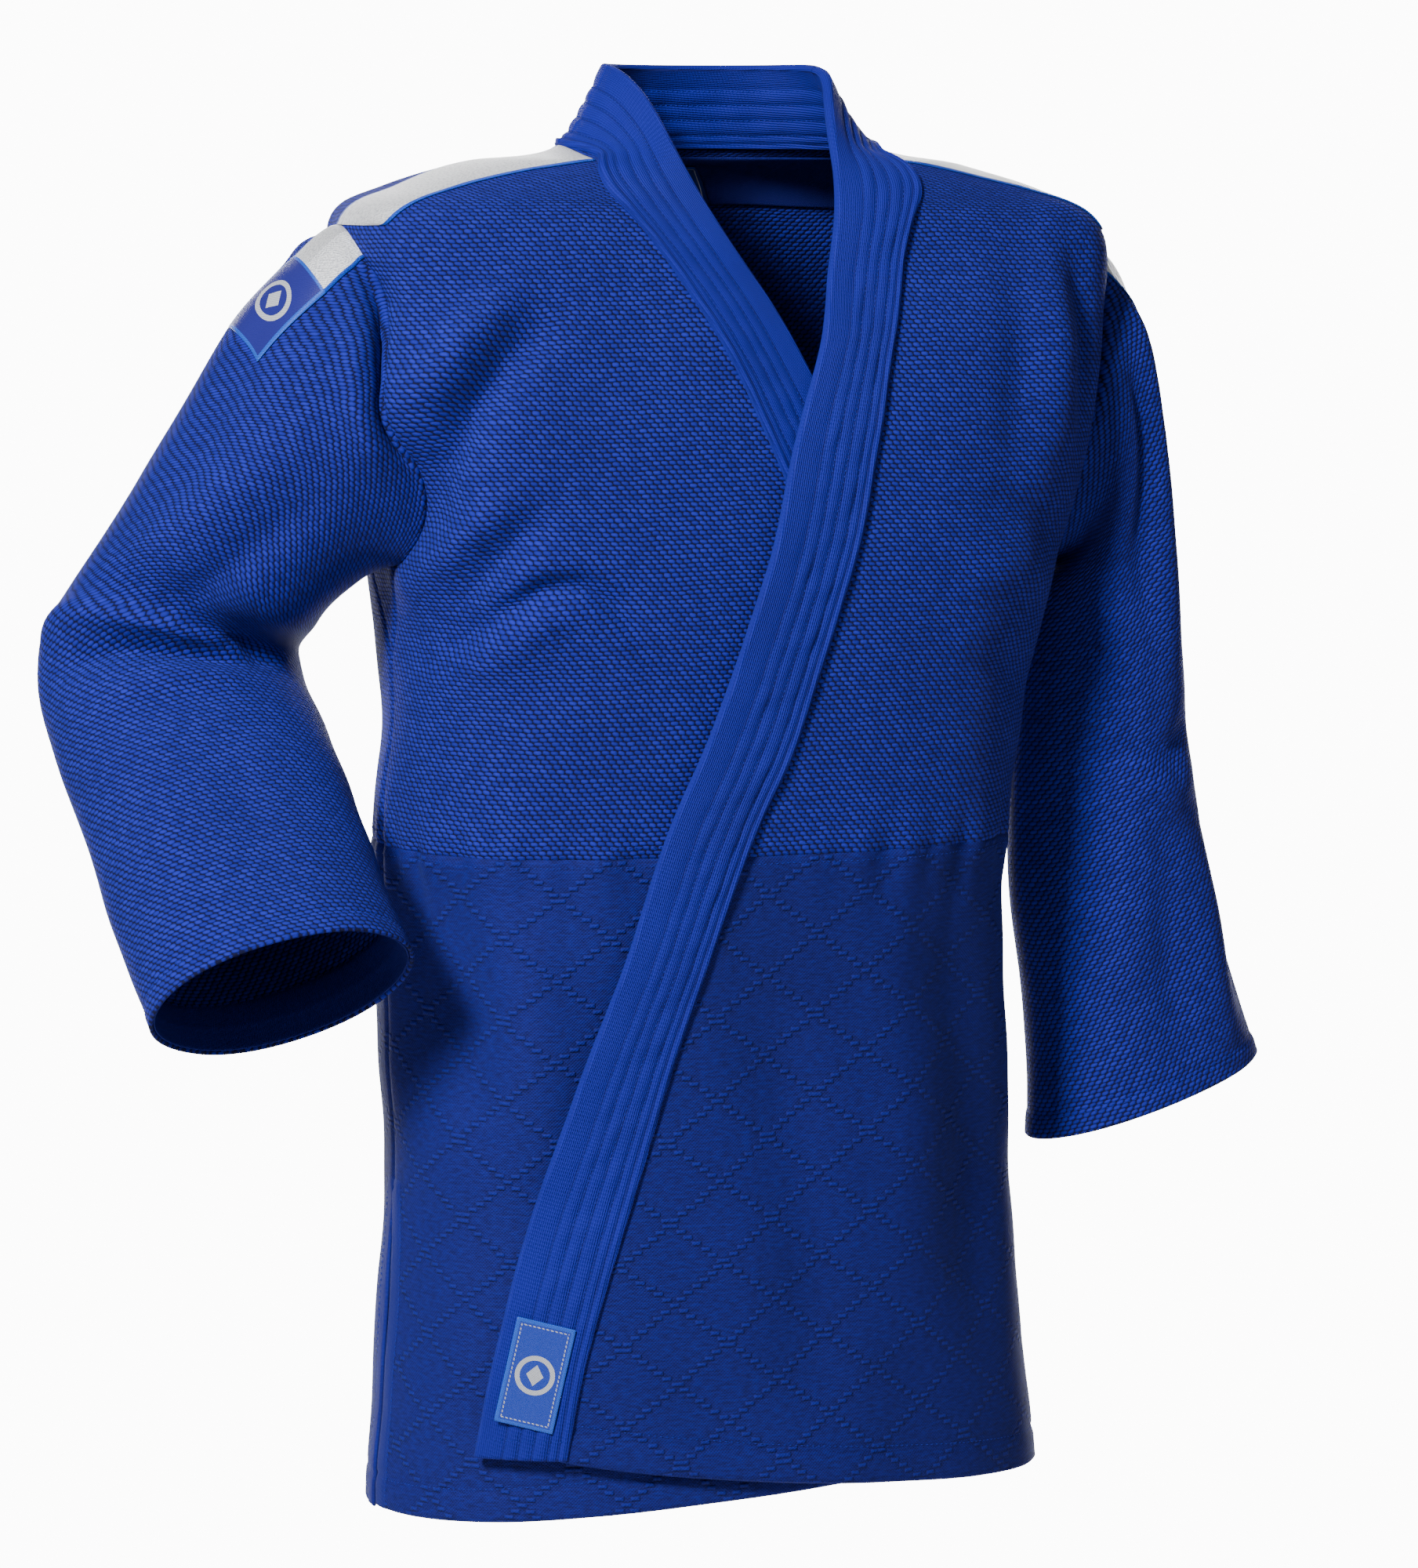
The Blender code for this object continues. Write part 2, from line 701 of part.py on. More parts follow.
def shoulder_patch(side, material):
    name = "left_shoulder_patch" if side == LEFT else "right_shoulder_patch"

    def place(s, t):
        turn = PATCH_TURN[0] + (PATCH_TURN[1] - PATCH_TURN[0]) * s
        ring = PATCH_RINGS[0] + (PATCH_RINGS[1] - PATCH_RINGS[0]) * t
        return sleeve_point(side, turn, ring, CLOTH / 2 + GAP + THIN / 2)

    patch(name, place, 4, 5, THIN, material, shoulder_pivot(side))


def lapel_label(material, pivot):
    """Flat woven label near the lapel's end."""
    row = row_at_height(LEFT, -0.706)
    point = lapel_frame(LEFT, row)
    below = lapel_frame(LEFT, row + 0.3)
    centre = point(0.5, LAPEL_THICK / 2)
    across = (point(0.9, LAPEL_THICK / 2) - point(0.1, LAPEL_THICK / 2)).normalized()
    down = (below(0.5, LAPEL_THICK / 2) - centre).normalized()
    across = (across - down * across.dot(down)).normalized()
    normal = down.cross(across)
    if normal.y > 0:
        normal = -normal
    bpy.ops.mesh.primitive_cube_add(size=1.0)
    label = bpy.context.object
    label.name = "lapel_label"
    for vert in label.data.vertices:
        vert.co = Vector((vert.co.x * LABEL_SIZE[0], vert.co.y * LABEL_SIZE[1], vert.co.z * THIN))
        vert.co = (centre + normal * (THIN / 2 + LABEL_STAND) + across * vert.co.x
                   + down * vert.co.y + normal * vert.co.z)
    label.data.materials.append(material)
    for owner in list(label.users_collection):
        owner.objects.unlink(label)
    parts.objects.link(label)
    closed = bmesh.new()
    closed.from_mesh(label.data)
    bmesh.ops.recalc_face_normals(closed, faces=closed.faces)
    closed.to_mesh(label.data)
    closed.free()
    set_pivot(label, pivot)


LABEL_STAND = 0.0004      # label's back above the highest part of the lapel under it


def vent_strip(name, angle_low, angle_high, material, pivot=None):
    """Hem tape inside a vent's edge."""
    foot = 0.12
    top = level_at(VENT_Z) - 0.06

    def place(s, t):
        angle = angle_low + (angle_high - angle_low) * s
        return torso(angle, foot + (top - foot) * t, -LINING_GAP - THIN / 2)

    patch(name, place, 2, 6, THIN, material, pivot)


def vent_stay(side, material):
    """Three-cornered reinforcement inside the skirt above a vent."""
    name = "left_vent_stay" if side == LEFT else "right_vent_stay"
    foot = level_at(VENT_Z) + 0.06

    def place(s, t):
        half = 7.5 * (1.0 - 0.75 * t)
        level = foot + 0.62 * t
        return torso(side * 99.0 + half * (2.0 * s - 1.0), level, -LINING_GAP - THIN / 2)

    patch(name, place, 3, 3, THIN, material)


# ---------------------------------------------------------------- build
def build():
    clear_scene()
    bpy.context.scene.collection.children.link(parts)
    grain = make_material("rice_grain_cloth", BLUE, 0.8)
    diamond = make_material("diamond_cloth", BLUE, 0.8)
    twill = make_material("lapel_twill", BLUE_LIGHT, 0.75)
    core = make_material("lapel_core", WHITE, 0.9)
    facing = make_material("facing_twill", BLUE_DARK, 0.8)
    tape = make_material("shoulder_tape", SILVER, 0.5)
    satin = make_material("patch_satin", BLUE_LIGHT, 0.5)
    woven = make_material("woven_label", AZURE, 0.5)

    front_body(LEFT, grain)
    front_body(RIGHT, grain)
    back_body(grain)
    front_skirt(LEFT, diamond, FLAP_PIVOT)
    front_skirt(RIGHT, diamond, None)
    waist = level_at(WAIST_Z - SEAM_HALF)
    vent_top = level_at(VENT_Z + SEAM_HALF)
    vent_foot = level_at(VENT_Z - SEAM_HALF)
    back_panel("back_skirt", vent_top, waist, 0.0, 14, 4, diamond)
    back_panel("back_tail", 0.0, vent_foot, 1.3, 14, 4, diamond, TAIL_PIVOT)
    for side in (LEFT, RIGHT):
        underarm_gusset(side, grain)
    yoke_lining(facing)
    neck_label(woven)

    collar(twill, core)
    waist_row = row_at_height(LEFT, WAIST_Z)
    last_left = float(len(LAPEL[LEFT]) - 1)
    last_right = float(len(LAPEL[RIGHT]) - 1)
    start = SIDE_OF_NECK + SEAM_ROW
    lapel_piece("left_lapel", LEFT, start, waist_row - SEAM_ROW, 20, twill, core)
    lapel_piece("left_lapel_tail", LEFT, waist_row + SEAM_ROW, last_left, 7, twill, core, FLAP_PIVOT)
    lapel_piece("right_lapel", RIGHT, start, last_right, 27, twill, core)

    for side in (LEFT, RIGHT):
        sleeve(side, grain, facing)
        shoulder_tape(side, tape)
        shoulder_patch(side, satin)
        vent_stay(side, facing)
    lapel_label(woven, FLAP_PIVOT)
    vent_strip("left_front_vent_tape", 88.2, 82.0, facing, FLAP_PIVOT)
    vent_strip("right_front_vent_tape", -88.2, -82.0, facing)
    vent_strip("left_back_vent_tape", 91.8, 98.0, facing, TAIL_PIVOT)
    vent_strip("right_back_vent_tape", -91.8, -98.0, facing, TAIL_PIVOT)


build()
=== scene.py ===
"""Judo jacket: the looks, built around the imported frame.

Metres, +Z up, +X to the wearer's left, the front facing -Y, origin at the neck on the
shoulder line. The cloth follows the same torso surface as the solids: a place on it is
(angle, level), the angle being 0 at the middle of the front, 90 at the wearer's left and 180
at the back, and the level counting rings from the hem (0) to the collar's top edge (13).
"""
import math

import bpy
import mathutils
import numpy as np
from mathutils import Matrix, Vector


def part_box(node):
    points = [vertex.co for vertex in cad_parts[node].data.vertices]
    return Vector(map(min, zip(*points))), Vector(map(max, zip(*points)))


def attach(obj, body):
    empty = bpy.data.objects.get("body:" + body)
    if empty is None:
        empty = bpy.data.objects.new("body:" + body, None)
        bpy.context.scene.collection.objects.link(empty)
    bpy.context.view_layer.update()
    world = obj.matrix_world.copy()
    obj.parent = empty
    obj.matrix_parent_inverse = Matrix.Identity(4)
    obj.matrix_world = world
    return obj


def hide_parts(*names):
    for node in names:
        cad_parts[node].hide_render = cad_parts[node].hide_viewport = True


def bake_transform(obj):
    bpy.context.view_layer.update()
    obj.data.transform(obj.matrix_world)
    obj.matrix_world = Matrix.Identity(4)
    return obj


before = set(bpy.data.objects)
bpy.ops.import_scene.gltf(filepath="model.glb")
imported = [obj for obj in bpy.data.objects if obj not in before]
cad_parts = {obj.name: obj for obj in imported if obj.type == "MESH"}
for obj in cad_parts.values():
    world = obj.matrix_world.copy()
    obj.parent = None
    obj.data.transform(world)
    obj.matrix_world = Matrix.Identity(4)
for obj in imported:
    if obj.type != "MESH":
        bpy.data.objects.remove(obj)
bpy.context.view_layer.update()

# ---------------------------------------------------------------- dimensions
CLOTH = 0.0025
LAPEL_HALF = 0.0033       # half the lapel's thickness
LAPEL_MID = 0.0020        # middle of the lapel, out from the inside of the body
LIFT = 0.0088             # how far the left front stands out over the right one
WAIST_Z = -0.407
VENT_Z = -0.614
LAPEL_END_Z = -0.757
RIGHT_HEM_Z = -0.774
SHOULDER_DROP = 0.008
HEM_HEIGHT = 0.018        # stitch line above a hem
VENT_TAPE = 0.0115        # width of the tape along a vent
LAPEL_WIDTH = 0.045
TAPE_HALF = 0.029         # half the shoulder tape's width
TAPE_LENGTH = 0.140
PATCH_HALF = (0.019, 0.029)
LABEL_HALF = (0.017, 0.031)
CUFF_ROWS = (0.011, 0.014)  # stitch rows in from the cuff's edge
LEFT, RIGHT = 1.0, -1.0
WORD = {LEFT: "left", RIGHT: "right"}

# Rings: height, half width, half depth in front, half depth behind, squareness, lean in x.
RINGS = (
    (-0.806, 0.202, 0.131, 0.126, 0.15, -0.013),
    (-0.700, 0.193, 0.128, 0.122, 0.15, -0.016),
    (-0.610, 0.184, 0.125, 0.119, 0.15, -0.019),
    (-0.510, 0.187, 0.123, 0.117, 0.15, -0.021),
    (-0.410, 0.190, 0.124, 0.118, 0.16, -0.018),
    (-0.330, 0.193, 0.127, 0.121, 0.20, -0.009),
    (-0.240, 0.206, 0.128, 0.126, 0.28, -0.002),
    (-0.165, 0.223, 0.120, 0.124, 0.36, -0.002),
    (-0.100, 0.231, 0.104, 0.114, 0.40, 0.0),
    (-0.044, 0.234, 0.086, 0.098, 0.40, 0.0),
    (-0.024, 0.200, 0.078, 0.089, 0.32, 0.0),
    (-0.011, 0.155, 0.069, 0.079, 0.15, 0.0),
    (0.000, 0.097, 0.060, 0.067, 0.0, 0.0),
    (0.047, 0.069, 0.047, 0.052, 0.0, 0.0),
)
ARMPIT, TIP, NECK, COLLAR_TOP = 6.0, 9.0, 12.0, 13.0
ARMHOLE_ANGLE = 26.0
GUSSET_ANGLE = 9.0
GUSSET_FOOT = 5.35

NECK_PATH = (
    (180.0, 0.000, 180.0, 0.047),
    (150.0, 0.000, 150.0, 0.047),
    (120.0, 0.000, 120.0, 0.047),
    (92.0, 0.000, 92.0, 0.047),
    (68.0, -0.001, 70.0, 0.046),
    (48.0, -0.004, 52.0, 0.036),
    (38.0, -0.008, 38.0, 0.018),
    (27.0, -0.016, 30.0, 0.000),
    (19.0, -0.030, 15.0, -0.015),
)
LEFT_PATH = (
    (-0.050, 0.084, 0.040),
    (-0.085, 0.074, 0.030),
    (-0.125, 0.061, 0.017),
    (-0.170, 0.049, -0.001),
    (-0.230, 0.033, -0.018),
    (-0.300, 0.009, -0.042),
    (-0.365, -0.016, -0.068),
    (-0.455, -0.053, -0.099),
    (-0.540, -0.082, -0.129),
    (-0.620, -0.106, -0.153),
    (-0.694, -0.127, -0.169),
    (-0.757, -0.139, -0.180),
)
RIGHT_PATH = (
    (-0.050, 0.078, 0.034),
    (-0.085, 0.056, 0.011),
    (-0.128, 0.032, -0.011),
    (-0.169, 0.015, -0.030),
    (-0.230, -0.010, -0.057),
    (-0.320, -0.045, -0.092),
    (-0.410, -0.073, -0.118),
    (-0.500, -0.091, -0.134),
    (-0.600, -0.104, -0.146),
    (-0.700, -0.116, -0.157),
    (-0.774, -0.124, -0.165),
)
# Sleeve rings: centre, direction along the arm, half width, half depth, roll in degrees.
LEFT_RINGS = (
    ((0.2425, 0.002, -0.171), (0.96, 0.00, -0.27), 0.0862, 0.071, 0.0),
    ((0.2520, 0.002, -0.251), (0.61, 0.00, -0.79), 0.048, 0.067, 0.0),
    ((0.2600, 0.000, -0.360), (0.08, -0.02, -1.00), 0.048, 0.062, 0.0),
    ((0.2705, -0.003, -0.470), (0.14, -0.03, -1.00), 0.059, 0.057, 0.0),
    ((0.2850, -0.008, -0.586), (0.30, -0.05, -0.95), 0.078, 0.053, 0.0),
)
RIGHT_RINGS = (
    ((-0.2580, 0.010, -0.174), (-0.92, 0.10, -0.39), 0.0849, 0.072, 0.0),
    ((-0.2930, 0.036, -0.234), (-0.56, 0.34, -0.76), 0.066, 0.068, 0.0),
    ((-0.3190, 0.072, -0.300), (-0.12, -0.19, -0.97), 0.077, 0.064, 2.0),
    ((-0.3130, -0.008, -0.389), (0.06, -0.66, -0.75), 0.077, 0.058, 9.0),
    ((-0.3030, -0.093, -0.476), (0.06, -0.68, -0.73), 0.0760, 0.054, 16.0),
)
CUFF = 5.0

# ---------------------------------------------------------------- curves and the torso


def through(rows, place):
    """Catmull-Rom values of a list of rows at fractional places, all at once."""
    rows = np.asarray(rows, float)
    last = len(rows) - 1
    place = np.clip(np.asarray(place, float), 0.0, last)
    index = np.minimum(place.astype(int), last - 1)
    f = (place - index)[..., None]
    a = rows[np.maximum(index - 1, 0)]
    b, c = rows[index], rows[index + 1]
    d = rows[np.minimum(index + 2, last)]
    return 0.5 * (2 * b + (c - a) * f + (2 * a - 5 * b + 4 * c - d) * f ** 2
                  + (3 * b - 3 * c + d - a) * f ** 3)


def ramp(value, low, high):
    """Smooth step from 0 at low to 1 at high."""
    f = np.clip((np.asarray(value, float) - low) / (high - low), 0.0, 1.0)
    return f * f * (3.0 - 2.0 * f)


def unit(v):
    """Vectors of length one."""
    return v / np.maximum(np.linalg.norm(v, axis=-1, keepdims=True), 1e-12)


def run_along(line):
    """Distance run at each point of a line, from its first point."""
    return np.concatenate(([0.0], np.cumsum(np.linalg.norm(np.diff(line, axis=0), axis=1))))


def square_off(value, squareness):
    """Sine or cosine of a ring's angle, filled out towards a rounded rectangle."""
    return value * (1.0 + squareness * (1.0 - value * value))


def surface(angle, level):
    """Inner surface of the torso, without folds."""
    angle, level = np.broadcast_arrays(np.asarray(angle, float), np.asarray(level, float))
    row = through(RINGS, level)
    side, ahead = np.sin(np.radians(angle)), np.cos(np.radians(angle))
    depth = np.where(ahead > 0, row[..., 2], row[..., 3])
    drop = SHOULDER_DROP * np.maximum(side, 0.0) ** 2
    drop = drop * ramp(level, ARMPIT, TIP) * (1.0 - ramp(level, TIP, NECK))
    return np.stack((row[..., 5] + row[..., 1] * square_off(side, row[..., 4]),
                     -depth * square_off(ahead, row[..., 4]), row[..., 0] - drop), axis=-1)


def surface_normal(angle, level):
    """Outward normal of the torso's inner surface."""
    around = surface(angle + 1.0, level) - surface(angle - 1.0, level)
    up = surface(angle, np.minimum(level + 0.05, COLLAR_TOP))
    up = up - surface(angle, np.maximum(level - 0.05, 0.0))
    return unit(np.cross(around, up))


FINE_LEVELS = np.linspace(0.0, COLLAR_TOP, 1301)
FINE_HEIGHTS = through(RINGS, FINE_LEVELS)[:, 0]


def level_at(height):
    """Level whose ring stands at this height."""
    return np.interp(height, FINE_HEIGHTS, FINE_LEVELS)


def angle_at(x, level):
    """Angle on the front where the torso reaches x at this level."""
    angles = np.linspace(-90.0, 90.0, 1441)
    return float(np.interp(x, surface(angles, level)[:, 0], angles))


def armhole_angle(level):
    """Angle of the armhole's front edge, and 90 below and above the armhole."""
    f = np.clip((np.asarray(level, float) - ARMPIT) / (TIP - ARMPIT), 0.0, 1.0)
    cut = ARMHOLE_ANGLE * (4.0 * f * (1.0 - f)) ** 0.6 + GUSSET_ANGLE * (1.0 - f) ** 4
    return np.where((level >= ARMPIT) & (level < TIP), 90.0 - cut, 90.0)


def side_edge(level):
    """Angle of a front's outer edge: the side seam, the gusset and the armhole."""
    gusset = GUSSET_ANGLE * np.clip(level - GUSSET_FOOT, 0.0, None) / (ARMPIT - GUSSET_FOOT)
    return np.where(level >= ARMPIT, armhole_angle(level), 90.0 - gusset)


def left_lift(angle, level):
    """How far the left front stands out, to lie over the right one."""
    down = ramp(-through(RINGS, level)[..., 0], 0.050, 0.115)
    full = 25.0 + 39.0 * (1.0 - ramp(level, 1.5, ARMPIT))
    return LIFT * down * (1.0 - ramp(angle, full, full + 26.0))


# ---------------------------------------------------------------- folds
def wobble(points, scale, seed, count=7):
    """Smooth seeded noise between about -1 and 1, with features about scale metres wide."""
    luck = np.random.RandomState(seed)
    total = np.zeros(points.shape[:-1])
    for _ in range(count):
        direction = luck.normal(size=points.shape[-1])
        direction *= luck.uniform(0.6, 1.5) * math.pi / scale / np.linalg.norm(direction)
        total += np.sin(points @ direction + luck.uniform(0.0, 2.0 * math.pi))
    return total / count * 1.6


def stroke(points, path, width, height):
    """A ridge (or a trough, if height is negative) along a path, fading out at both ends."""
    path = np.asarray(path, float)
    starts, runs = path[:-1], path[1:] - path[:-1]
    lengths = np.linalg.norm(runs, axis=1)
    whole = lengths.sum()
    best = np.full(points.shape[:-1], 1e9)
    along = np.zeros(points.shape[:-1])
    done = 0.0
    for start, run, length in zip(starts, runs, lengths):
        f = np.clip(((points - start) @ run) / length ** 2, 0.0, 1.0)
        distance = np.linalg.norm(points - start - f[..., None] * run, axis=-1)
        near = distance < best
        best = np.where(near, distance, best)
        along = np.where(near, (done + f * length) / whole, along)
        done += length
    taper = np.clip(np.sin(math.pi * np.clip(along, 0.02, 0.98)), 0.0, 1.0) ** 0.7
    return height * taper * np.exp(-(best / width) ** 2)


# Folds of the front, on (x, z): path, half width, height.
FRONT_FOLDS = (
    # the deep pull from the chest down beside the right armhole: ridge outside, valley inside
    (((-0.160, -0.078), (-0.192, -0.108), (-0.214, -0.140), (-0.228, -0.172), (-0.232, -0.215)),
     0.012, 0.0130),
    (((-0.140, -0.092), (-0.168, -0.120), (-0.190, -0.150), (-0.204, -0.182), (-0.208, -0.235)),
     0.012, -0.0135),
    # the pocket at the right armhole and the edge beside it
    (((-0.238, -0.062), (-0.237, -0.100), (-0.238, -0.140), (-0.242, -0.190)), 0.011, -0.0150),
    (((-0.222, -0.084), (-0.219, -0.106), (-0.224, -0.132), (-0.231, -0.160)), 0.009, 0.0085),
    # the second pull
    (((-0.165, -0.190), (-0.192, -0.222), (-0.204, -0.250), (-0.210, -0.272)), 0.009, 0.0070),
    (((-0.148, -0.200), (-0.174, -0.232), (-0.188, -0.262), (-0.194, -0.290)), 0.010, -0.0080),
    # the curved fold over the belly
    (((-0.196, -0.272), (-0.172, -0.250), (-0.148, -0.236), (-0.124, -0.238), (-0.104, -0.252)),
     0.010, 0.0040),
    (((-0.195, -0.292), (-0.172, -0.264), (-0.150, -0.248), (-0.130, -0.247), (-0.112, -0.257),
      (-0.098, -0.274)), 0.008, -0.0075),
    (((-0.186, -0.306), (-0.164, -0.280), (-0.145, -0.264), (-0.130, -0.262), (-0.114, -0.273),
      (-0.100, -0.290)), 0.010, 0.0060),
    (((-0.170, -0.320), (-0.140, -0.300), (-0.110, -0.302)), 0.014, -0.0030),
    # beside the left armhole
    (((0.196, -0.052), (0.200, -0.110), (0.198, -0.180)), 0.011, -0.0080),
    (((0.176, -0.056), (0.178, -0.115), (0.172, -0.190)), 0.014, 0.0050),
    (((0.152, -0.066), (0.148, -0.120), (0.136, -0.200)), 0.014, -0.0050),
    (((0.190, -0.235), (0.150, -0.212), (0.110, -0.205)), 0.013, -0.0045),
    (((0.186, -0.262), (0.145, -0.246), (0.095, -0.250)), 0.014, 0.0040),
    (((0.175, -0.330), (0.140, -0.305), (0.095, -0.300)), 0.015, -0.0030),
    # the skirts
    (((-0.204, -0.412), (-0.194, -0.470), (-0.182, -0.570)), 0.018, -0.0125),
    (((-0.165, -0.425), (-0.155, -0.500), (-0.145, -0.600)), 0.020, 0.0055),
    (((0.050, -0.430), (0.066, -0.540), (0.072, -0.720)), 0.026, 0.0055),
    (((0.102, -0.440), (0.116, -0.560), (0.128, -0.740)), 0.020, -0.0060),
    (((0.148, -0.430), (0.152, -0.560), (0.160, -0.730)), 0.018, 0.0045),
    (((-0.020, -0.480), (0.000, -0.600), (0.010, -0.740)), 0.024, -0.0045),
)
BACK_FOLDS = (
    (((-0.240, -0.030), (-0.240, -0.085)), 0.020, -0.0090),
    (((0.240, -0.030), (0.240, -0.085)), 0.020, -0.0090),
    (((-0.175, -0.080), (-0.182, -0.160), (-0.168, -0.250)), 0.016, 0.0050),
    (((0.175, -0.080), (0.182, -0.160), (0.168, -0.250)), 0.016, 0.0050),
    (((-0.150, -0.110), (-0.150, -0.190), (-0.135, -0.270)), 0.014, -0.0045),
    (((0.150, -0.110), (0.150, -0.190), (0.135, -0.270)), 0.014, -0.0045),
    (((-0.180, -0.300), (-0.110, -0.285), (-0.050, -0.300)), 0.016, 0.0040),
    (((0.180, -0.310), (0.110, -0.290), (0.040, -0.302)), 0.016, 0.0040),
    (((-0.100, -0.430), (-0.105, -0.560), (-0.112, -0.740)), 0.026, 0.0060),
    (((0.085, -0.430), (0.095, -0.560), (0.100, -0.740)), 0.026, 0.0060),
    (((-0.010, -0.430), (-0.008, -0.560), (-0.012, -0.740)), 0.030, -0.0050),
    (((-0.020, -0.060), (-0.010, -0.160), (-0.012, -0.300)), 0.030, -0.0030),
)


def waist_puckers(angle, level):
    """Small gathers below the waist seam, where the skirt is eased in."""
    below = WAIST_Z - through(RINGS, level)[..., 0]
    near = np.where(below > 0, np.exp(-below / 0.024), np.exp(below / 0.014))
    girth = np.stack((np.radians(angle) * 0.17, below * 0.10), axis=-1)
    return 0.0034 * near * wobble(girth, 0.016, 5, 9)


def relief(points, angle, level):
    """How far the folds push the torso's cloth out, in metres."""
    flat = points[..., [0, 2]]
    front = points[..., 1] < 0
    total = np.zeros(points.shape[:-1])
    for folds, mask in ((FRONT_FOLDS, front), (BACK_FOLDS, ~front)):
        part = sum(stroke(flat, path, width, height) for path, width, height in folds)
        total += np.where(mask, part * ramp(np.abs(points[..., 1]), 0.0, 0.04), 0.0)
    calm = 1.0 - ramp(level, 10.2, 11.9)
    total += 0.0024 * wobble(points, 0.085, 11)
    total += 0.0010 * wobble(points, 0.038, 12)
    return total * calm + waist_puckers(angle, level)


def torso(angle, level, out=0.0):
    """Point on the folded torso, out metres outside its inner surface."""
    angle, level = np.broadcast_arrays(np.asarray(angle, float), np.asarray(level, float))
    base = surface(angle, level)
    push = np.asarray(out, float) + relief(base, angle, level)
    return base + surface_normal(angle, level) * push[..., None]


# ---------------------------------------------------------------- flat pattern coordinates
MERIDIAN_ANGLE = 35.0
MERIDIAN = run_along(surface(np.full_like(FINE_LEVELS, MERIDIAN_ANGLE), FINE_LEVELS))
MERIDIAN -= np.interp(level_at(WAIST_Z), FINE_LEVELS, MERIDIAN)


def pattern(angle, level, middle):
    """Metres across from the middle line (0 in front, 180 behind) and up from the waist."""
    steps = np.linspace(0.0, 1.0, 25).reshape((-1,) + (1,) * np.ndim(angle))
    line = surface(middle + steps * (angle - middle), np.broadcast_to(level, np.shape(angle)))
    across = np.linalg.norm(np.diff(line, axis=0), axis=-1).sum(axis=0) * np.sign(angle - middle)
    return np.stack((across, np.interp(level, FINE_LEVELS, MERIDIAN)), axis=-1)


# ---------------------------------------------------------------- meshes
def grid_normals(points, closed):
    """Normals of a grid of points; closed grids join their last column to the first."""
    if closed:
        along_u = np.roll(points, -1, axis=1) - np.roll(points, 1, axis=1)
    else:
        along_u = np.gradient(points, axis=1)
    return unit(np.cross(along_u, np.gradient(points, axis=0)))


def turned_to(points, uvs, way):
    """The grid, mirrored if needed so that its normals point along way."""
    if (grid_normals(points, False) * way).sum() < 0:
        return points[:, ::-1], uvs[:, ::-1]
    return points, uvs


def outward_sign(tube):
    """+1 where a closed tube's grid normals point out of it, and -1 where they point in."""
    centres = tube.mean(axis=1, keepdims=True)
    return 1.0 if ((tube - centres) * grid_normals(tube, True)).sum() >= 0 else -1.0


def extent(spans):
    """Widest width and full length of a piece's flat coordinates."""
    return float(np.ptp(spans[..., 0])), float(np.ptp(spans[..., 1]))


def cell_grid(rows, cols, low=0.0):
    """Grids of s across and t along, each from low to 1."""
    return np.meshgrid(np.linspace(low, 1.0, cols), np.linspace(low, 1.0, rows))


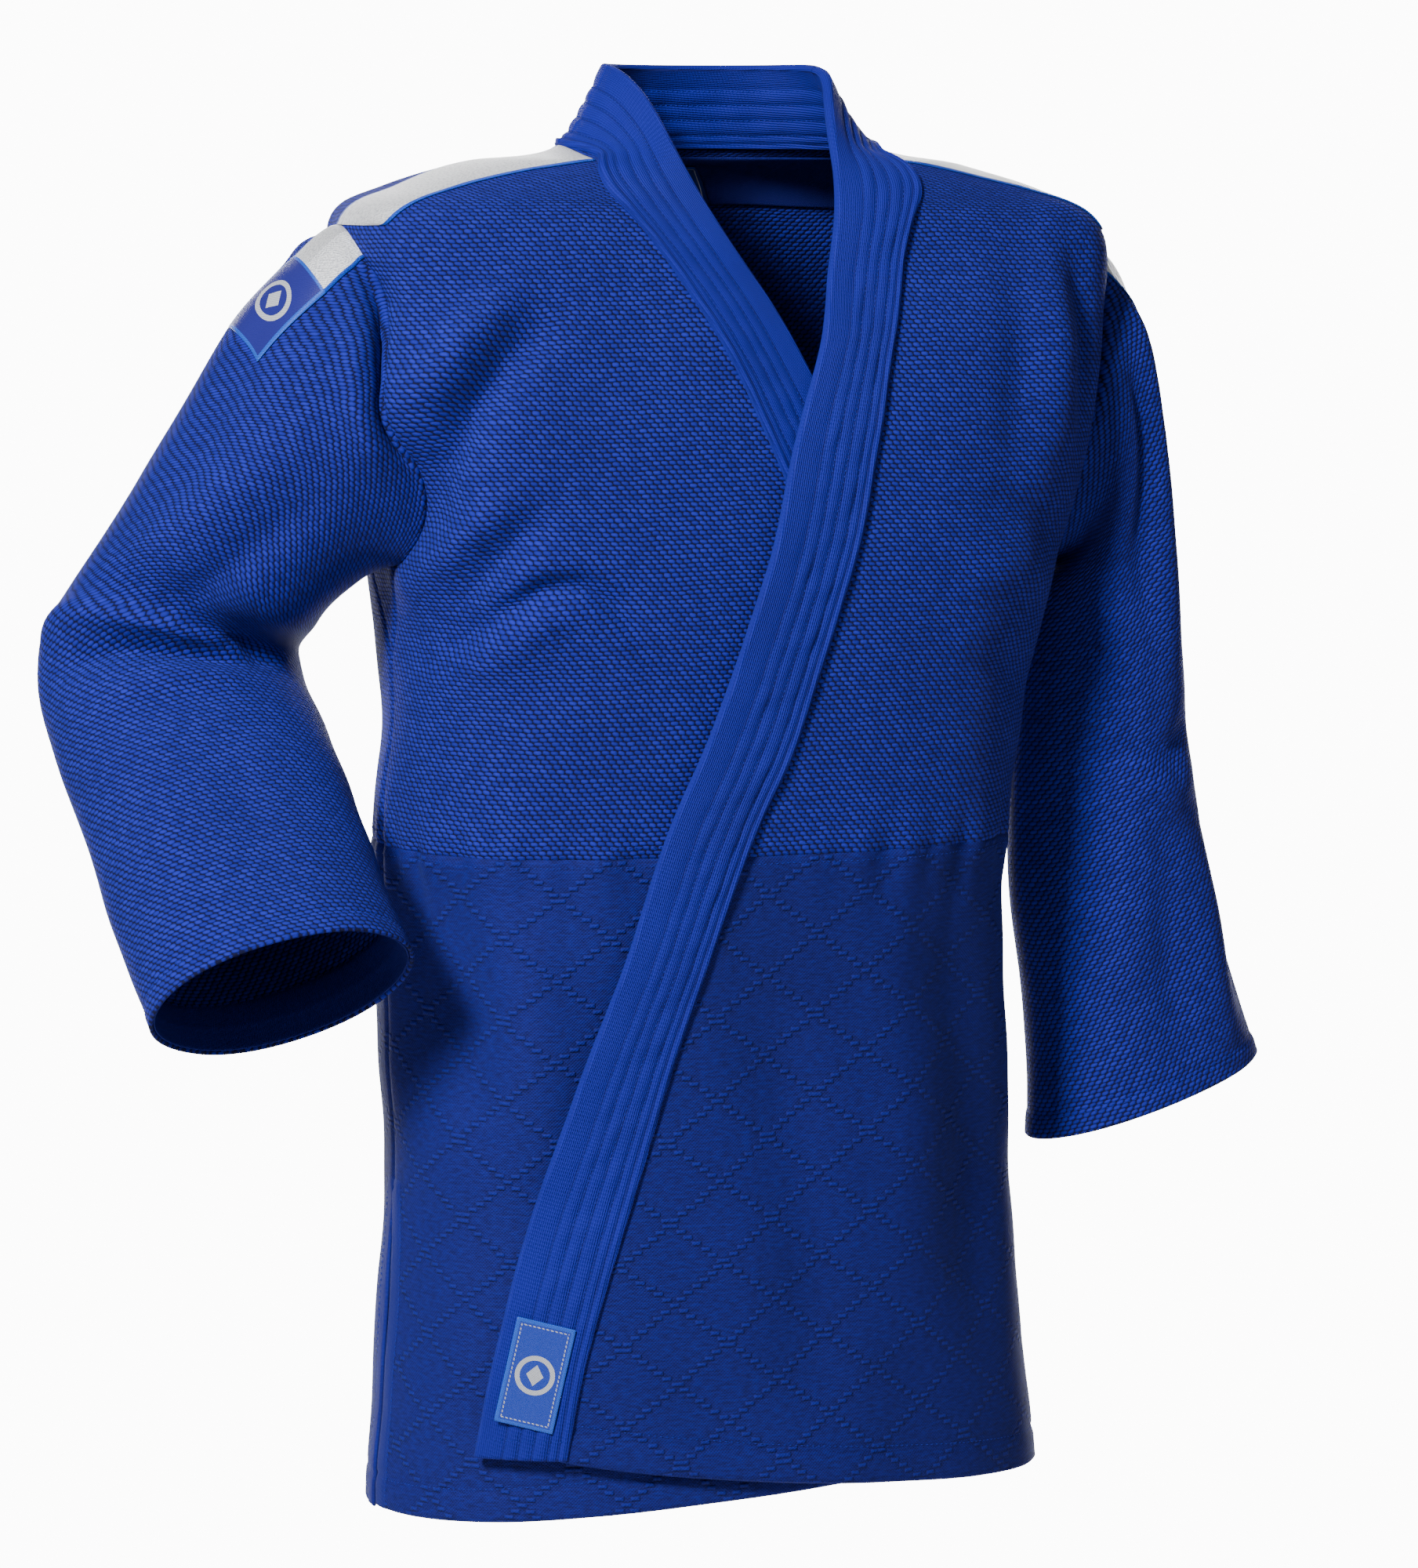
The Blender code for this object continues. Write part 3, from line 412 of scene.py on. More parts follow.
class Piece:
    """Collects grids and stitches, and makes one mesh object of them."""

    def __init__(self):
        self.points, self.faces, self.uvs, self.slots, self.threads = [], [], [], [], []
        self.total, self.area = 0, 0.0

    def add(self, points, faces, uvs, slots):
        self.points.append(points.reshape(-1, 3))
        self.faces.append(np.asarray(faces) + self.total)
        self.uvs.append(uvs.reshape(-1, 2))
        self.slots.append(np.broadcast_to(slots, (len(faces),)))
        self.total += len(self.points[-1])

    def cloth(self, points, uvs, outward, thickness=CLOTH, closed=False, slots=0):
        """Solid cloth round a grid of middle points; outward is +1 or -1 for grid_normals."""
        normals = grid_normals(points, closed) * outward
        rows, cols = points.shape[:2]
        half = thickness / 2
        count = rows * cols
        index = np.arange(count).reshape(rows, cols)
        if closed:
            here, right = index, np.roll(index, -1, axis=1)
        else:
            here, right = index[:, :-1], index[:, 1:]
        quads = np.stack((here[:-1], right[:-1], right[1:], here[1:]), axis=-1).reshape(-1, 4)
        slots = np.asarray(slots)
        if slots.ndim == 2:
            slots = slots[:-1] if closed else slots[:-1, :-1]
        flat = np.broadcast_to(slots, here[:-1].shape).reshape(-1)
        outer = quads if outward > 0 else quads[:, ::-1]
        faces = [outer, outer[:, ::-1] + count]
        marks = [flat, flat]
        verts = [points + normals * half, points - normals * half]
        extra_uv = [uvs, uvs]
        if closed:
            loops = [(index[0], points[0] - points[1]),
                     (index[-1][::-1], (points[-1] - points[-2])[::-1])]
        else:
            away = np.zeros_like(points)
            away[0] += unit(points[0] - points[1])
            away[-1] += unit(points[-1] - points[-2])
            away[:, 0] += unit(points[:, 0] - points[:, 1])
            away[:, -1] += unit(points[:, -1] - points[:, -2])
            rim = np.concatenate((index[0, :-1], index[:-1, -1], index[-1, :0:-1], index[:0:-1, 0]))
            loops = [(rim, away.reshape(-1, 3)[rim])]
        base = 2 * count
        for rim, away in loops:
            verts.append(points.reshape(-1, 3)[rim] + unit(away) * half * 0.9)
            extra_uv.append(uvs.reshape(-1, 2)[rim])
            a, b = rim, np.roll(rim, -1)
            m = base + np.arange(len(rim))
            n = np.roll(m, -1)
            base += len(rim)
            strip = np.concatenate((np.stack((a, m, n, b), -1),
                                    np.stack((m, a + count, b + count, n), -1)))
            faces.append(strip if outward > 0 else strip[:, ::-1])
            marks.append(np.full(len(strip), int(flat[0])))
        sides = np.linalg.norm(np.cross(points[1:, :-1] - points[:-1, :-1],
                                        points[:-1, 1:] - points[:-1, :-1]), axis=-1)
        self.area += float(sides.sum())
        self.add(np.concatenate([v.reshape(-1, 3) for v in verts]), np.concatenate(faces),
                 np.concatenate([u.reshape(-1, 2) for u in extra_uv]), np.concatenate(marks))
        return points + normals * half, normals

    def stitches(self, line, normals, slot, pitch=0.0036, length=0.0026, radius=0.00028):
        """Thread dashes lying along a line of points."""
        run = run_along(line)
        starts = np.arange(pitch * 0.5, run[-1] - pitch, pitch)
        if not len(starts):
            return

        def at(values, where):
            return np.stack([np.interp(where, run, values[:, k]) for k in range(3)], -1)

        tail, head = at(line, starts), at(line, starts + length)
        up = unit(at(normals, starts))
        side = unit(np.cross(head - tail, up))
        middle = (tail + head) / 2 + up * radius * 0.9
        tail, head = tail - up * radius * 0.4, head - up * radius * 0.4
        wide, high = side * radius, up * radius
        ring = np.stack((tail, middle - wide, middle + high, middle + wide, head), axis=1)
        base = np.arange(len(starts))[:, None] * 5
        corners = ((0, 3, 2), (0, 2, 1), (4, 2, 3), (4, 1, 2), (0, 1, 4), (0, 4, 3))
        tris = np.concatenate([base + np.array(corner) for corner in corners])
        self.threads.append((ring.reshape(-1, 3), tris, slot))

    def finish(self, name, materials):
        """The mesh object name_piece, with its flat coordinates as the UV map "cloth"."""
        points = np.concatenate(self.points)
        faces = [list(map(int, face)) for block in self.faces for face in block]
        slots = list(np.concatenate(self.slots))
        uvs = np.concatenate(self.uvs)
        offset = len(points)
        for ring, tris, slot in self.threads:
            points = np.concatenate((points, ring))
            faces += [list(map(int, tri + offset)) for tri in tris]
            slots += [slot] * len(tris)
            uvs = np.concatenate((uvs, ring[:, [0, 2]]))
            offset += len(ring)
        name = f"{name}_piece"
        mesh = bpy.data.meshes.new(name)
        mesh.from_pydata(points.tolist(), [], faces)
        for material in materials:
            mesh.materials.append(material)
        mesh.polygons.foreach_set("material_index", np.asarray(slots, np.int32))
        layer = mesh.uv_layers.new(name="cloth")
        loops = np.zeros(len(mesh.loops), np.int32)
        mesh.loops.foreach_get("vertex_index", loops)
        layer.data.foreach_set("uv", uvs[loops].astype(np.float32).reshape(-1))
        mesh.shade_smooth()
        mesh.validate()
        item = bpy.data.objects.new(name, mesh)
        bpy.context.scene.collection.objects.link(item)
        return item


# ---------------------------------------------------------------- materials
class Value:
    """A number or colour worked out by shader nodes; numbers take part in plain arithmetic."""

    def __init__(self, socket):
        self.socket = socket

    def __add__(self, other):
        return compute("ADD", self, other)

    def __sub__(self, other):
        return compute("SUBTRACT", self, other)

    def __rsub__(self, other):
        return compute("SUBTRACT", other, self)

    def __mul__(self, other):
        return compute("MULTIPLY", self, other)

    def __truediv__(self, other):
        return compute("DIVIDE", self, other)

    def __mod__(self, other):
        return compute("FLOORED_MODULO", self, other)

    def __pow__(self, power):
        return compute("POWER", self, power)

    def __abs__(self):
        return compute("ABSOLUTE", self)

    def __lt__(self, other):
        return compute("LESS_THAN", self, other)

    def __gt__(self, other):
        return compute("GREATER_THAN", self, other)

    def maximum(self, other):
        return compute("MAXIMUM", self, other)

    def floor(self):
        return compute("FLOOR", self)

    def from_centre(self):
        """Place inside its own cell, from -0.5 to 0.5."""
        return compute("FRACT", self) - 0.5

    def wave(self, pitch):
        return compute("SINE", self * (2.0 * math.pi / pitch))

    def clip(self):
        """The same sum, held between 0 and 1."""
        self.socket.node.use_clamp = True
        return self


def connect(socket, value):
    """Link a value to a socket, or set the socket's own number or colour."""
    if isinstance(value, Value):
        socket.id_data.links.new(value.socket, socket)
    else:
        socket.default_value = value


def compute(operation, *values):
    """Result of a math node on numbers, at least one of which is a Value."""
    tree = next(value.socket.id_data for value in values if isinstance(value, Value))
    node = tree.nodes.new("ShaderNodeMath")
    node.operation = operation
    for socket, value in zip(node.inputs, values):
        connect(socket, value)
    return Value(node.outputs[0])


SOFT_TINT, BLUE_TINT = (0.3, 0.4, 0.9), (0.1, 0.2, 0.9)


class Shader:
    """A procedural material on the cloth's flat coordinates: u across it and v along it, metres."""

    def __init__(self, name, roughness, sheen=0.0, tint=SOFT_TINT):
        self.material = bpy.data.materials.new(name)
        self.material.use_nodes = True
        self.nodes = self.material.node_tree.nodes
        self.bsdf = self.nodes["Principled BSDF"]
        for socket, value in (("Roughness", roughness), ("Sheen Weight", sheen), ("Sheen Roughness", 0.45),
                              ("Sheen Tint", (*tint, 1.0)), ("Specular IOR Level", 0.25)):
            self.bsdf.inputs[socket].default_value = value
        place = self.nodes.new("ShaderNodeUVMap")
        place.uv_map = "cloth"
        self.uv = Value(place.outputs[0])
        split = self.nodes.new("ShaderNodeSeparateXYZ")
        connect(split.inputs[0], self.uv)
        self.u, self.v = Value(split.outputs[0]), Value(split.outputs[1])

    def noise(self, scale, detail=2.0, stretch=None):
        node = self.nodes.new("ShaderNodeTexNoise")
        node.inputs["Scale"].default_value = scale
        node.inputs["Detail"].default_value = detail
        place = self.uv
        if stretch is not None:
            longer = self.nodes.new("ShaderNodeVectorMath")
            longer.operation = "MULTIPLY"
            longer.inputs[1].default_value = stretch
            connect(longer.inputs[0], self.uv)
            place = Value(longer.outputs[0])
        connect(node.inputs["Vector"], place)
        return Value(node.outputs[0])

    def patches(self, scale, share):
        """Soft patches where the cloth is a little darker."""
        return ((self.noise(scale, 3.0) - 0.42) * share).clip()

    def random(self, x, y):
        """A steady random number for each pair of whole numbers."""
        join = self.nodes.new("ShaderNodeCombineXYZ")
        connect(join.inputs[0], x)
        connect(join.inputs[1], y)
        node = self.nodes.new("ShaderNodeTexWhiteNoise")
        node.noise_dimensions = "2D"
        connect(node.inputs["Vector"], Value(join.outputs[0]))
        return Value(node.outputs[0])

    def mix(self, share, low, high):
        node = self.nodes.new("ShaderNodeMix")
        node.data_type = "RGBA"
        connect(node.inputs[0], share)
        for socket, colour in ((node.inputs[6], low), (node.inputs[7], high)):
            connect(socket, (*colour, 1.0) if isinstance(colour, tuple) else colour)
        return Value(node.outputs[2])

    def finish(self, colour, relief=None, depth=0.0):
        """The material, with this colour and bumps depth metres high."""
        connect(self.bsdf.inputs["Base Color"], colour)
        if relief is not None:
            node = self.nodes.new("ShaderNodeBump")
            node.inputs["Strength"].default_value = 1.0
            node.inputs["Distance"].default_value = depth
            connect(node.inputs["Height"], relief)
            connect(self.bsdf.inputs["Normal"], Value(node.outputs[0]))
        return self.material


def rice_grain(name, light, mid, dark, width=0.0048, height=0.0027, wander=0.0016):
    """Oval grains in brick offset, each a little lighter or darker at random, with painted shade in the
    gaps between them.
    """
    s = Shader(name, 0.82, sheen=0.10, tint=BLUE_TINT)
    shift = (s.noise(90.0) - 0.5) * wander
    bend = (s.noise(14.0) - 0.5) * (wander * 3.0)
    v = (s.v + shift + bend) / height
    row = v.floor()
    u = (s.u + shift) / width + row % 2.0 * 0.5
    du, dv = u.from_centre(), v.from_centre()
    lean = dv + du * 0.34
    far = (abs(du) * 2.02) ** 2.6 + (abs(lean) * 2.0) ** 2.2
    high = (1.0 - far).clip() ** 0.6
    luck = s.random(u.floor(), row)
    yarn = s.noise(2400.0, 3.0)
    face = s.mix(((luck + yarn) * 0.55).clip(), mid, light)
    # painted shade: the gaps between the grains are darkened, following the grains' height
    body = s.mix(high ** 0.8, dark, face)
    colour = s.mix(s.patches(9.0, 0.5), body, dark)
    return s.finish(colour, high + (yarn * 0.5 + luck * 0.3), 0.0012)


def diamond_cloth(name, light, mid, dark, row_height=0.0036, step=0.0046, wide=0.061):
    """Plain weave with diamonds drawn by short level floats, and painted shade on the rim beside each
    float.
    """
    s = Shader(name, 0.80, sheen=0.08, tint=BLUE_TINT)
    weave = s.u.wave(0.0019) * s.v.wave(0.0019) * 0.5
    v = (s.v + s.noise(70.0) * 0.0012) / row_height
    row, dv = v.floor(), v.from_centre()
    thin = (1.0 - (abs(dv) * 2.3) ** 2.0).clip()
    dashes, edges = [], []
    for side in (1.0, -1.0):
        lean = row * (side * step) + s.random(row, side * 3.0) * 0.0016
        du = (s.u + lean) % wide - wide / 2
        dash = (1.0 - (abs(du) * (1.0 / 0.0030)) ** 4.0).clip() * thin
        dashes.append(dash)
        # painted shade: a darker rim beside each float, where the raised float casts shade
        edges.append(((1.0 - abs(du) * (1.0 / 0.0052)).clip() - dash).clip())
    floats, shade = dashes[0].maximum(dashes[1]), edges[0].maximum(edges[1])
    yarn = s.noise(1.0, 3.0, stretch=(170.0, 620.0, 0.0))
    slub = ((yarn - 0.28) * 1.25).clip()
    face = s.mix((slub + weave * 0.45).clip(), dark, light)
    base = s.mix(shade * 0.85, s.mix(0.75, mid, face), dark)
    colour = s.mix(s.patches(7.0, 0.5), s.mix(floats * 0.42, base, light), dark)
    return s.finish(colour, floats + (weave * 0.3 + yarn * 0.6) - shade * 0.4, 0.0008)


def twill(name, light, mid, dark, slope=0.35, rows=(), pitch=0.0011):
    """Fine ribs running nearly along the cloth, with painted shade in the stitched furrows at the given
    rows.
    """
    s = Shader(name, 0.74, sheen=0.08, tint=BLUE_TINT)
    ribs = (s.u + s.v * (slope * 0.12) + s.noise(500.0) * (pitch * 0.35)).wave(pitch)
    cross = (s.v + s.u * 2.2).wave(0.0021)
    yarn = s.noise(1300.0)
    share = (ribs * 0.28 + 0.12 + yarn * 0.75).clip()
    colour = s.mix(0.5, mid, s.mix(share, dark, light))
    colour = s.mix(s.patches(16.0, 0.6), colour, dark)
    for row in rows:
        # painted shade: each stitch row's furrow is darkened towards the dark colour
        furrow_shade = (1.0 - abs(s.u - row) * (1.0 / 0.0012)).clip()
        colour = s.mix(furrow_shade * 0.6, colour, dark)
    return s.finish(colour, ribs * 0.35 + cross * 0.16 + yarn * 0.4, 0.00045)


def thread(name, colour, dark):
    """Sewing thread with an uneven shade."""
    s = Shader(name, 0.6, sheen=0.1)
    return s.finish(s.mix(s.noise(900.0), dark, colour))


def silver_tape(name):
    """Woven silver band with azure edges."""
    s = Shader(name, 0.42, tint=(0.8, 0.85, 1.0))
    s.bsdf.inputs["Metallic"].default_value = 0.25
    edge = abs(s.u)
    weave = (s.v + edge * 0.7).wave(0.0012)
    speck = (s.noise(620.0, 4.0) - 0.5) * 2.0 + 0.8
    woven = s.mix((weave * 0.25 + speck).clip(), (0.26, 0.28, 0.36), (0.96, 0.97, 1.0))
    colour = s.mix(edge > TAPE_HALF - 0.0022, woven, (0.008, 0.060, 0.50))
    return s.finish(colour, weave * 0.4 + speck, 0.0004)


def past_edge(s, half):
    """Distance past a label's edge, negative inside it."""
    return (abs(s.u) - half[0]).maximum(abs(s.v) - half[1])


def emblem_satin(name, half, ground, ground_dark, dashed_line):
    """Satin with an embroidered border and a plain ring round a small diamond."""
    s = Shader(name, 0.36)
    s.bsdf.inputs["Specular IOR Level"].default_value = 0.5
    rim, speck = past_edge(s, half), s.noise(1800.0)
    satin = (s.u + s.v * 0.5).wave(0.0008)
    stitch = (s.u + s.v).wave(0.0011)
    glint = (stitch + 1.0) * 0.5
    border = rim > -0.0019
    colour = s.mix((satin * 0.2 + speck).clip(), ground_dark, ground)
    colour = s.mix(border, colour, s.mix(glint, (0.008, 0.055, 0.42), (0.020, 0.125, 0.70)))
    reach = compute("SQRT", s.u * s.u + s.v * s.v)
    ring = abs(reach - half[0] * 0.60) < half[0] * 0.085
    gem = abs(s.u) + abs(s.v) * 0.8 < half[0] * 0.30
    mark = ring.maximum(gem)
    if dashed_line:
        line = abs(rim + 0.0032) < 0.00035
        mark = mark.maximum(line * ((s.u + s.v).wave(0.0026) > -0.3))
    colour = s.mix(mark, colour, s.mix(glint, (0.28, 0.30, 0.36), (0.70, 0.72, 0.78)))
    return s.finish(colour, mark.maximum(border) + stitch * 0.25 + speck * 0.2, 0.0004)


def neck_label_satin(half):
    """Blank dark satin with a thin silver outline."""
    s = Shader("neck_label_satin", 0.4)
    speck = s.noise(1500.0)
    ground = s.mix(speck, (0.004, 0.014, 0.12), (0.010, 0.040, 0.28))
    line = abs(past_edge(s, half) + 0.0022) < 0.0003
    return s.finish(s.mix(line, ground, (0.5, 0.52, 0.58)), speck, 0.0003)


LIGHT, MID, DARK = (0.020, 0.026, 0.520), (0.0055, 0.0077, 0.240), (0.0009, 0.0012, 0.036)
grain = rice_grain("rice_grain_cloth", LIGHT, MID, DARK)
diamond = diamond_cloth("diamond_cloth", (0.0075, 0.0145, 0.325), (0.0027, 0.0054, 0.168),
                        (0.0010, 0.0016, 0.050))
STITCH_ROWS = (0.20, 0.37, 0.53, 0.70)   # across the lapel from its seam
SEAM_SHADE_ROW = 0.095                         # painted shade in the furrow beside the lapel's seam
# the lapel twill paints shade into the furrows of its seam and stitch rows
rib = twill("lapel_twill", (0.0118, 0.0170, 0.415), (0.0066, 0.0097, 0.278), (0.0014, 0.0025, 0.080),
            rows=[row * LAPEL_WIDTH for row in (SEAM_SHADE_ROW, *STITCH_ROWS)])
hem = twill("facing_twill", (0.0070, 0.0130, 0.280), (0.0040, 0.0075, 0.190), (0.0012, 0.0022, 0.070),
            slope=1.0)
sewing = thread("blue_thread", (0.013, 0.029, 0.420), (0.0035, 0.0085, 0.190))
silver = silver_tape("shoulder_tape")
patch_satin = emblem_satin("patch_satin", PATCH_HALF, (0.024, 0.026, 0.260), (0.011, 0.012, 0.160), False)
label_satin = emblem_satin("woven_label", LABEL_HALF, (0.018, 0.055, 0.46), (0.010, 0.034, 0.32), True)


# ---------------------------------------------------------------- lapel paths
def lapel_rows(side):
    """Seam and free edge along one side of the band: angle, level, angle, level."""
    rows = []
    for seam_angle, seam_z, free_angle, free_z in NECK_PATH:
        rows.append((side * seam_angle, level_at(seam_z), side * free_angle, level_at(free_z)))
    for height, seam_x, free_x in (LEFT_PATH if side == LEFT else RIGHT_PATH):
        level = level_at(height)
        rows.append((angle_at(side * seam_x, level), level, angle_at(side * free_x, level), level))
    return np.array(rows)


LAPEL = {LEFT: lapel_rows(LEFT), RIGHT: lapel_rows(RIGHT)}
SIDE_OF_NECK = 3.0


def seam_angle_at(side, level):
    """Angle of the lapel's seam at each level."""
    rows = through(LAPEL[side], np.linspace(SIDE_OF_NECK, len(LAPEL[side]) - 1, 800))
    order = np.argsort(rows[:, 1])
    return np.interp(level, rows[order, 1], rows[order, 0])


def even_rows(low, high, count, angle=40.0):
    """Levels from low to high, evenly spaced along the cloth."""
    fine = np.linspace(low, high, 600)
    run = run_along(surface(np.full_like(fine, angle), fine))
    return np.interp(np.linspace(0.0, run[-1], count), run, fine)


def from_edges(spans):
    """Distances across the cloth from its first and its last column."""
    return [np.abs(spans[..., 0] - spans[:, edge, 0]) for edge in (slice(0, 1), slice(-1, None))]


def crease(distance, depth=0.0010, width=0.0026):
    """Groove of a seam or a stitch row, at a distance from it."""
    return -depth * np.exp(-(distance / width) ** 2)


def body_panel(name, angle, level, middle, out, materials, seams, slots=0, lines=()):
    """Piece of body cloth over angle and level grids; seams are distances to sewn edges."""
    out = out + CLOTH / 2 + sum(crease(distance) for distance in seams)
    points = torso(angle, level, out)
    spans = pattern(angle, level, middle)
    outward = 1.0 if (grid_normals(points, False) * surface_normal(angle, level)).sum() >= 0 else -1.0
    piece = Piece()
    top, direction = piece.cloth(points, spans, outward, slots=slots)
    for rows, cols in lines:
        piece.stitches(top[rows, cols], direction[rows, cols], len(materials) - 1)
    return piece.finish(name, materials), extent(spans), piece.area


def declare(item, flat, area, slot, nodes, rests_on):
    """Hide the solids that the sheet stands for; its cut size, area, finish and what it rests on are not
    used.
    """
    if nodes:
        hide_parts(*nodes)


VENT_LEVEL = level_at(VENT_Z)
VENT_GAP = 1.3            # degrees that each edge of an open vent stands back


def vent_opening(level):
    """1 where a side vent is open, 0 above it."""
    return 1.0 - ramp(level, VENT_LEVEL - 0.4, VENT_LEVEL)


def hem_and_vent(level, from_side, from_hem, col):
    """Vent tape cells, the cloth's extra thickness, and the stitch row and column at the edges."""
    tape = (from_side < VENT_TAPE) & (level < VENT_LEVEL + 0.05)
    thick = 0.0006 * (from_hem < HEM_HEIGHT) + 0.0007 * tape
    hem_row = int(np.argmax(from_hem[:, col] > HEM_HEIGHT))
    vent_col = int(np.argmax(from_side[20] > VENT_TAPE - 0.001))
    return tape, thick, hem_row, vent_col, int(np.argmax(level[:, 0] > VENT_LEVEL))


UNDER_LAPEL = 2.0         # degrees that a front reaches in under its lapel


def front(side):
    """One front: its body cloth and its skirt."""
    word = WORD[side]
    neck_level = float(level_at(-0.0012))
    # body, from the waist to the collar
    levels = even_rows(float(level_at(WAIST_Z)), neck_level, 150)[:, None]
    s = np.linspace(0.0, 1.0, 110)[None, :]
    outer = side * side_edge(levels)
    inner = seam_angle_at(side, levels) - side * UNDER_LAPEL
    angle = outer + (inner - outer) * s
    level = np.broadcast_to(levels, angle.shape)
    lift = left_lift(angle, level) if side == LEFT else np.zeros_like(angle)
    spans = pattern(angle, level, 0.0)
    seams = [spans[..., 1], from_edges(spans)[0]]
    body, flat, area = body_panel(f"{word}_front_body", angle, level, 0.0, lift, [grain, sewing],
                                  seams, lines=[(2, slice(0, 108))])
    declare(body, flat, area, "rice_grain_cloth", [f"{word}_front_body"], ["hanger"])
    # skirt, from the hem to the waist
    foot_side = 0.1 if side == LEFT else 0.04
    foot_lapel = float(level_at(LAPEL_END_Z if side == LEFT else RIGHT_HEM_Z))
    foot = foot_side + (foot_lapel - foot_side) * s ** (1.5 if side == LEFT else 1.0)
    t = np.linspace(0.0, 1.0, 140)[:, None]
    waist = float(level_at(WAIST_Z))
    level = foot + (waist - foot) * t
    open_vent = vent_opening(level)
    outer = side * (90.0 - VENT_GAP * open_vent)
    inner = seam_angle_at(side, level) - side * UNDER_LAPEL
    angle = outer + (inner - outer) * s
    lift = left_lift(angle, level) if side == LEFT else np.zeros_like(angle)
    spans = pattern(angle, level, 0.0)
    from_side = from_edges(spans)[0]
    from_hem = spans[..., 1] - spans[:1, :, 1]
    tape, thick, hem_row, vent_col, vent_row = hem_and_vent(level, from_side, from_hem, 50)
    seams = [-spans[..., 1], np.where(level > VENT_LEVEL, from_side, 0.02), from_hem - HEM_HEIGHT]
    skirt, flat, area = body_panel(
        f"{word}_front_skirt", angle, level, 0.0, lift + thick, [diamond, hem, sewing], seams,
        tape.astype(int),
        lines=[(hem_row, slice(2, 108)), (slice(2, vent_row), vent_col), (-3, slice(0, 108))])
    nodes = [f"{word}_front_skirt", f"{word}_front_vent_tape"]
    declare(skirt, flat, area, "diamond_cloth", nodes, [body.name])
    return body, skirt


def back():
    """The back's body cloth, and its skirt with the tail between the vents."""
    levels = even_rows(float(level_at(WAIST_Z)), NECK - 0.01, 150)[:, None]
    s = np.linspace(0.0, 1.0, 190)[None, :]
    edge = 180.0 - side_edge(levels)
    angle = edge + (360.0 - 2.0 * edge) * s
    level = np.broadcast_to(levels, angle.shape)
    spans = pattern(angle, level, 180.0)
    seams = [spans[..., 1], *from_edges(spans)]
    body, flat, area = body_panel("back_body", angle, level, 180.0, np.zeros_like(angle), [grain, sewing],
                                  seams, lines=[(2, slice(0, 188))])
    declare(body, flat, area, "rice_grain_cloth", ["back_body"], ["hanger"])
    levels = even_rows(0.0, float(level_at(WAIST_Z)), 140)[:, None]
    open_vent = vent_opening(levels)
    edge = 90.0 + VENT_GAP * open_vent
    angle = edge + (360.0 - 2.0 * edge) * s
    level = np.broadcast_to(levels, angle.shape)
    spans = pattern(angle, level, 180.0)
    from_side = np.minimum(*from_edges(spans))
    from_hem = spans[..., 1] - spans[:1, :, 1]
    tape, thick, hem_row, vent_col, vent_row = hem_and_vent(level, from_side, from_hem, 90)
    seams = [-spans[..., 1], np.where(level > VENT_LEVEL, from_side, 0.02), from_hem - HEM_HEIGHT]
    skirt, flat, area = body_panel(
        "back_skirt", angle, level, 180.0, thick, [diamond, hem, sewing], seams, tape.astype(int),
        lines=[(hem_row, slice(2, 188)), (slice(2, vent_row), vent_col),
               (slice(2, vent_row), 189 - vent_col), (-3, slice(0, 188))])
    nodes = ["back_skirt", "back_tail", "left_back_vent_tape", "right_back_vent_tape",
             "left_vent_stay", "right_vent_stay"]
    declare(skirt, flat, area, "diamond_cloth", nodes, ["back_body"])
    return body, skirt


def gusset(side):
    """Triangle of cloth let in under the arm."""
    word = WORD[side]
    levels = np.linspace(GUSSET_FOOT + 0.03, ARMPIT, 26)[:, None]
    s = np.linspace(-1.0, 1.0, 20)[None, :]
    half = GUSSET_ANGLE * (levels - GUSSET_FOOT) / (ARMPIT - GUSSET_FOOT)
    angle = side * (90.0 + half * s)
    level = np.broadcast_to(levels, angle.shape)
    spans = pattern(angle, level, 0.0)
    seams = from_edges(spans)
    item, flat, area = body_panel(f"{word}_underarm_gusset", angle, level, 0.0, np.zeros_like(angle),
                                  [grain, sewing], seams)
    declare(item, flat, area, "rice_grain_cloth", [f"{word}_underarm_gusset"],
            [f"{word}_front_body"])
    return item


# ---------------------------------------------------------------- collar and lapels
def lapel_profile(across, run, seed):
    """Height of the quilted lapel above its flat face: channels between stitch rows."""
    high = np.zeros(across.shape)
    marks = (0.0,) + STITCH_ROWS + (1.0,)
    for low, top in zip(marks, marks[1:]):
        inside = (across >= low) & (across <= top)
        f = np.clip((across - low) / (top - low), 0.0, 1.0)
        swell = 0.0015 if top < 1.0 else 0.0010
        high = np.where(inside, swell * np.clip(np.sin(math.pi * f), 0.0, 1.0) ** 0.55 - 0.0013, high)
    high = np.where(across > 0.85, -0.0003, high)
    ridge = 0.0012 * np.exp(-((across - 0.035) / 0.022) ** 2)
    ridge -= 0.0010 * np.exp(-((across - 0.095) / 0.020) ** 2)
    place = np.stack((across * 0.045, run * 0.8), axis=-1)
    pucker = 0.00055 * wobble(place, 0.0085, seed, 9) * np.exp(-((across - 0.42) / 0.34) ** 4)
    return high + ridge + pucker + 0.0004 * wobble(place, 0.022, seed + 1)


def smooth_rows(points, width):
    """Each column of a grid smoothed along its rows, over about width rows."""
    reach = int(2.4 * width)
    kernel = np.exp(-(np.arange(-reach, reach + 1) / width) ** 2)
    kernel /= kernel.sum()
    soft = np.empty_like(points)
    for j in range(points.shape[1]):
        for k in range(3):
            padded = np.pad(points[:, j, k], reach, mode="reflect", reflect_type="odd")
            soft[:, j, k] = np.convolve(padded, kernel, mode="valid")
    return soft


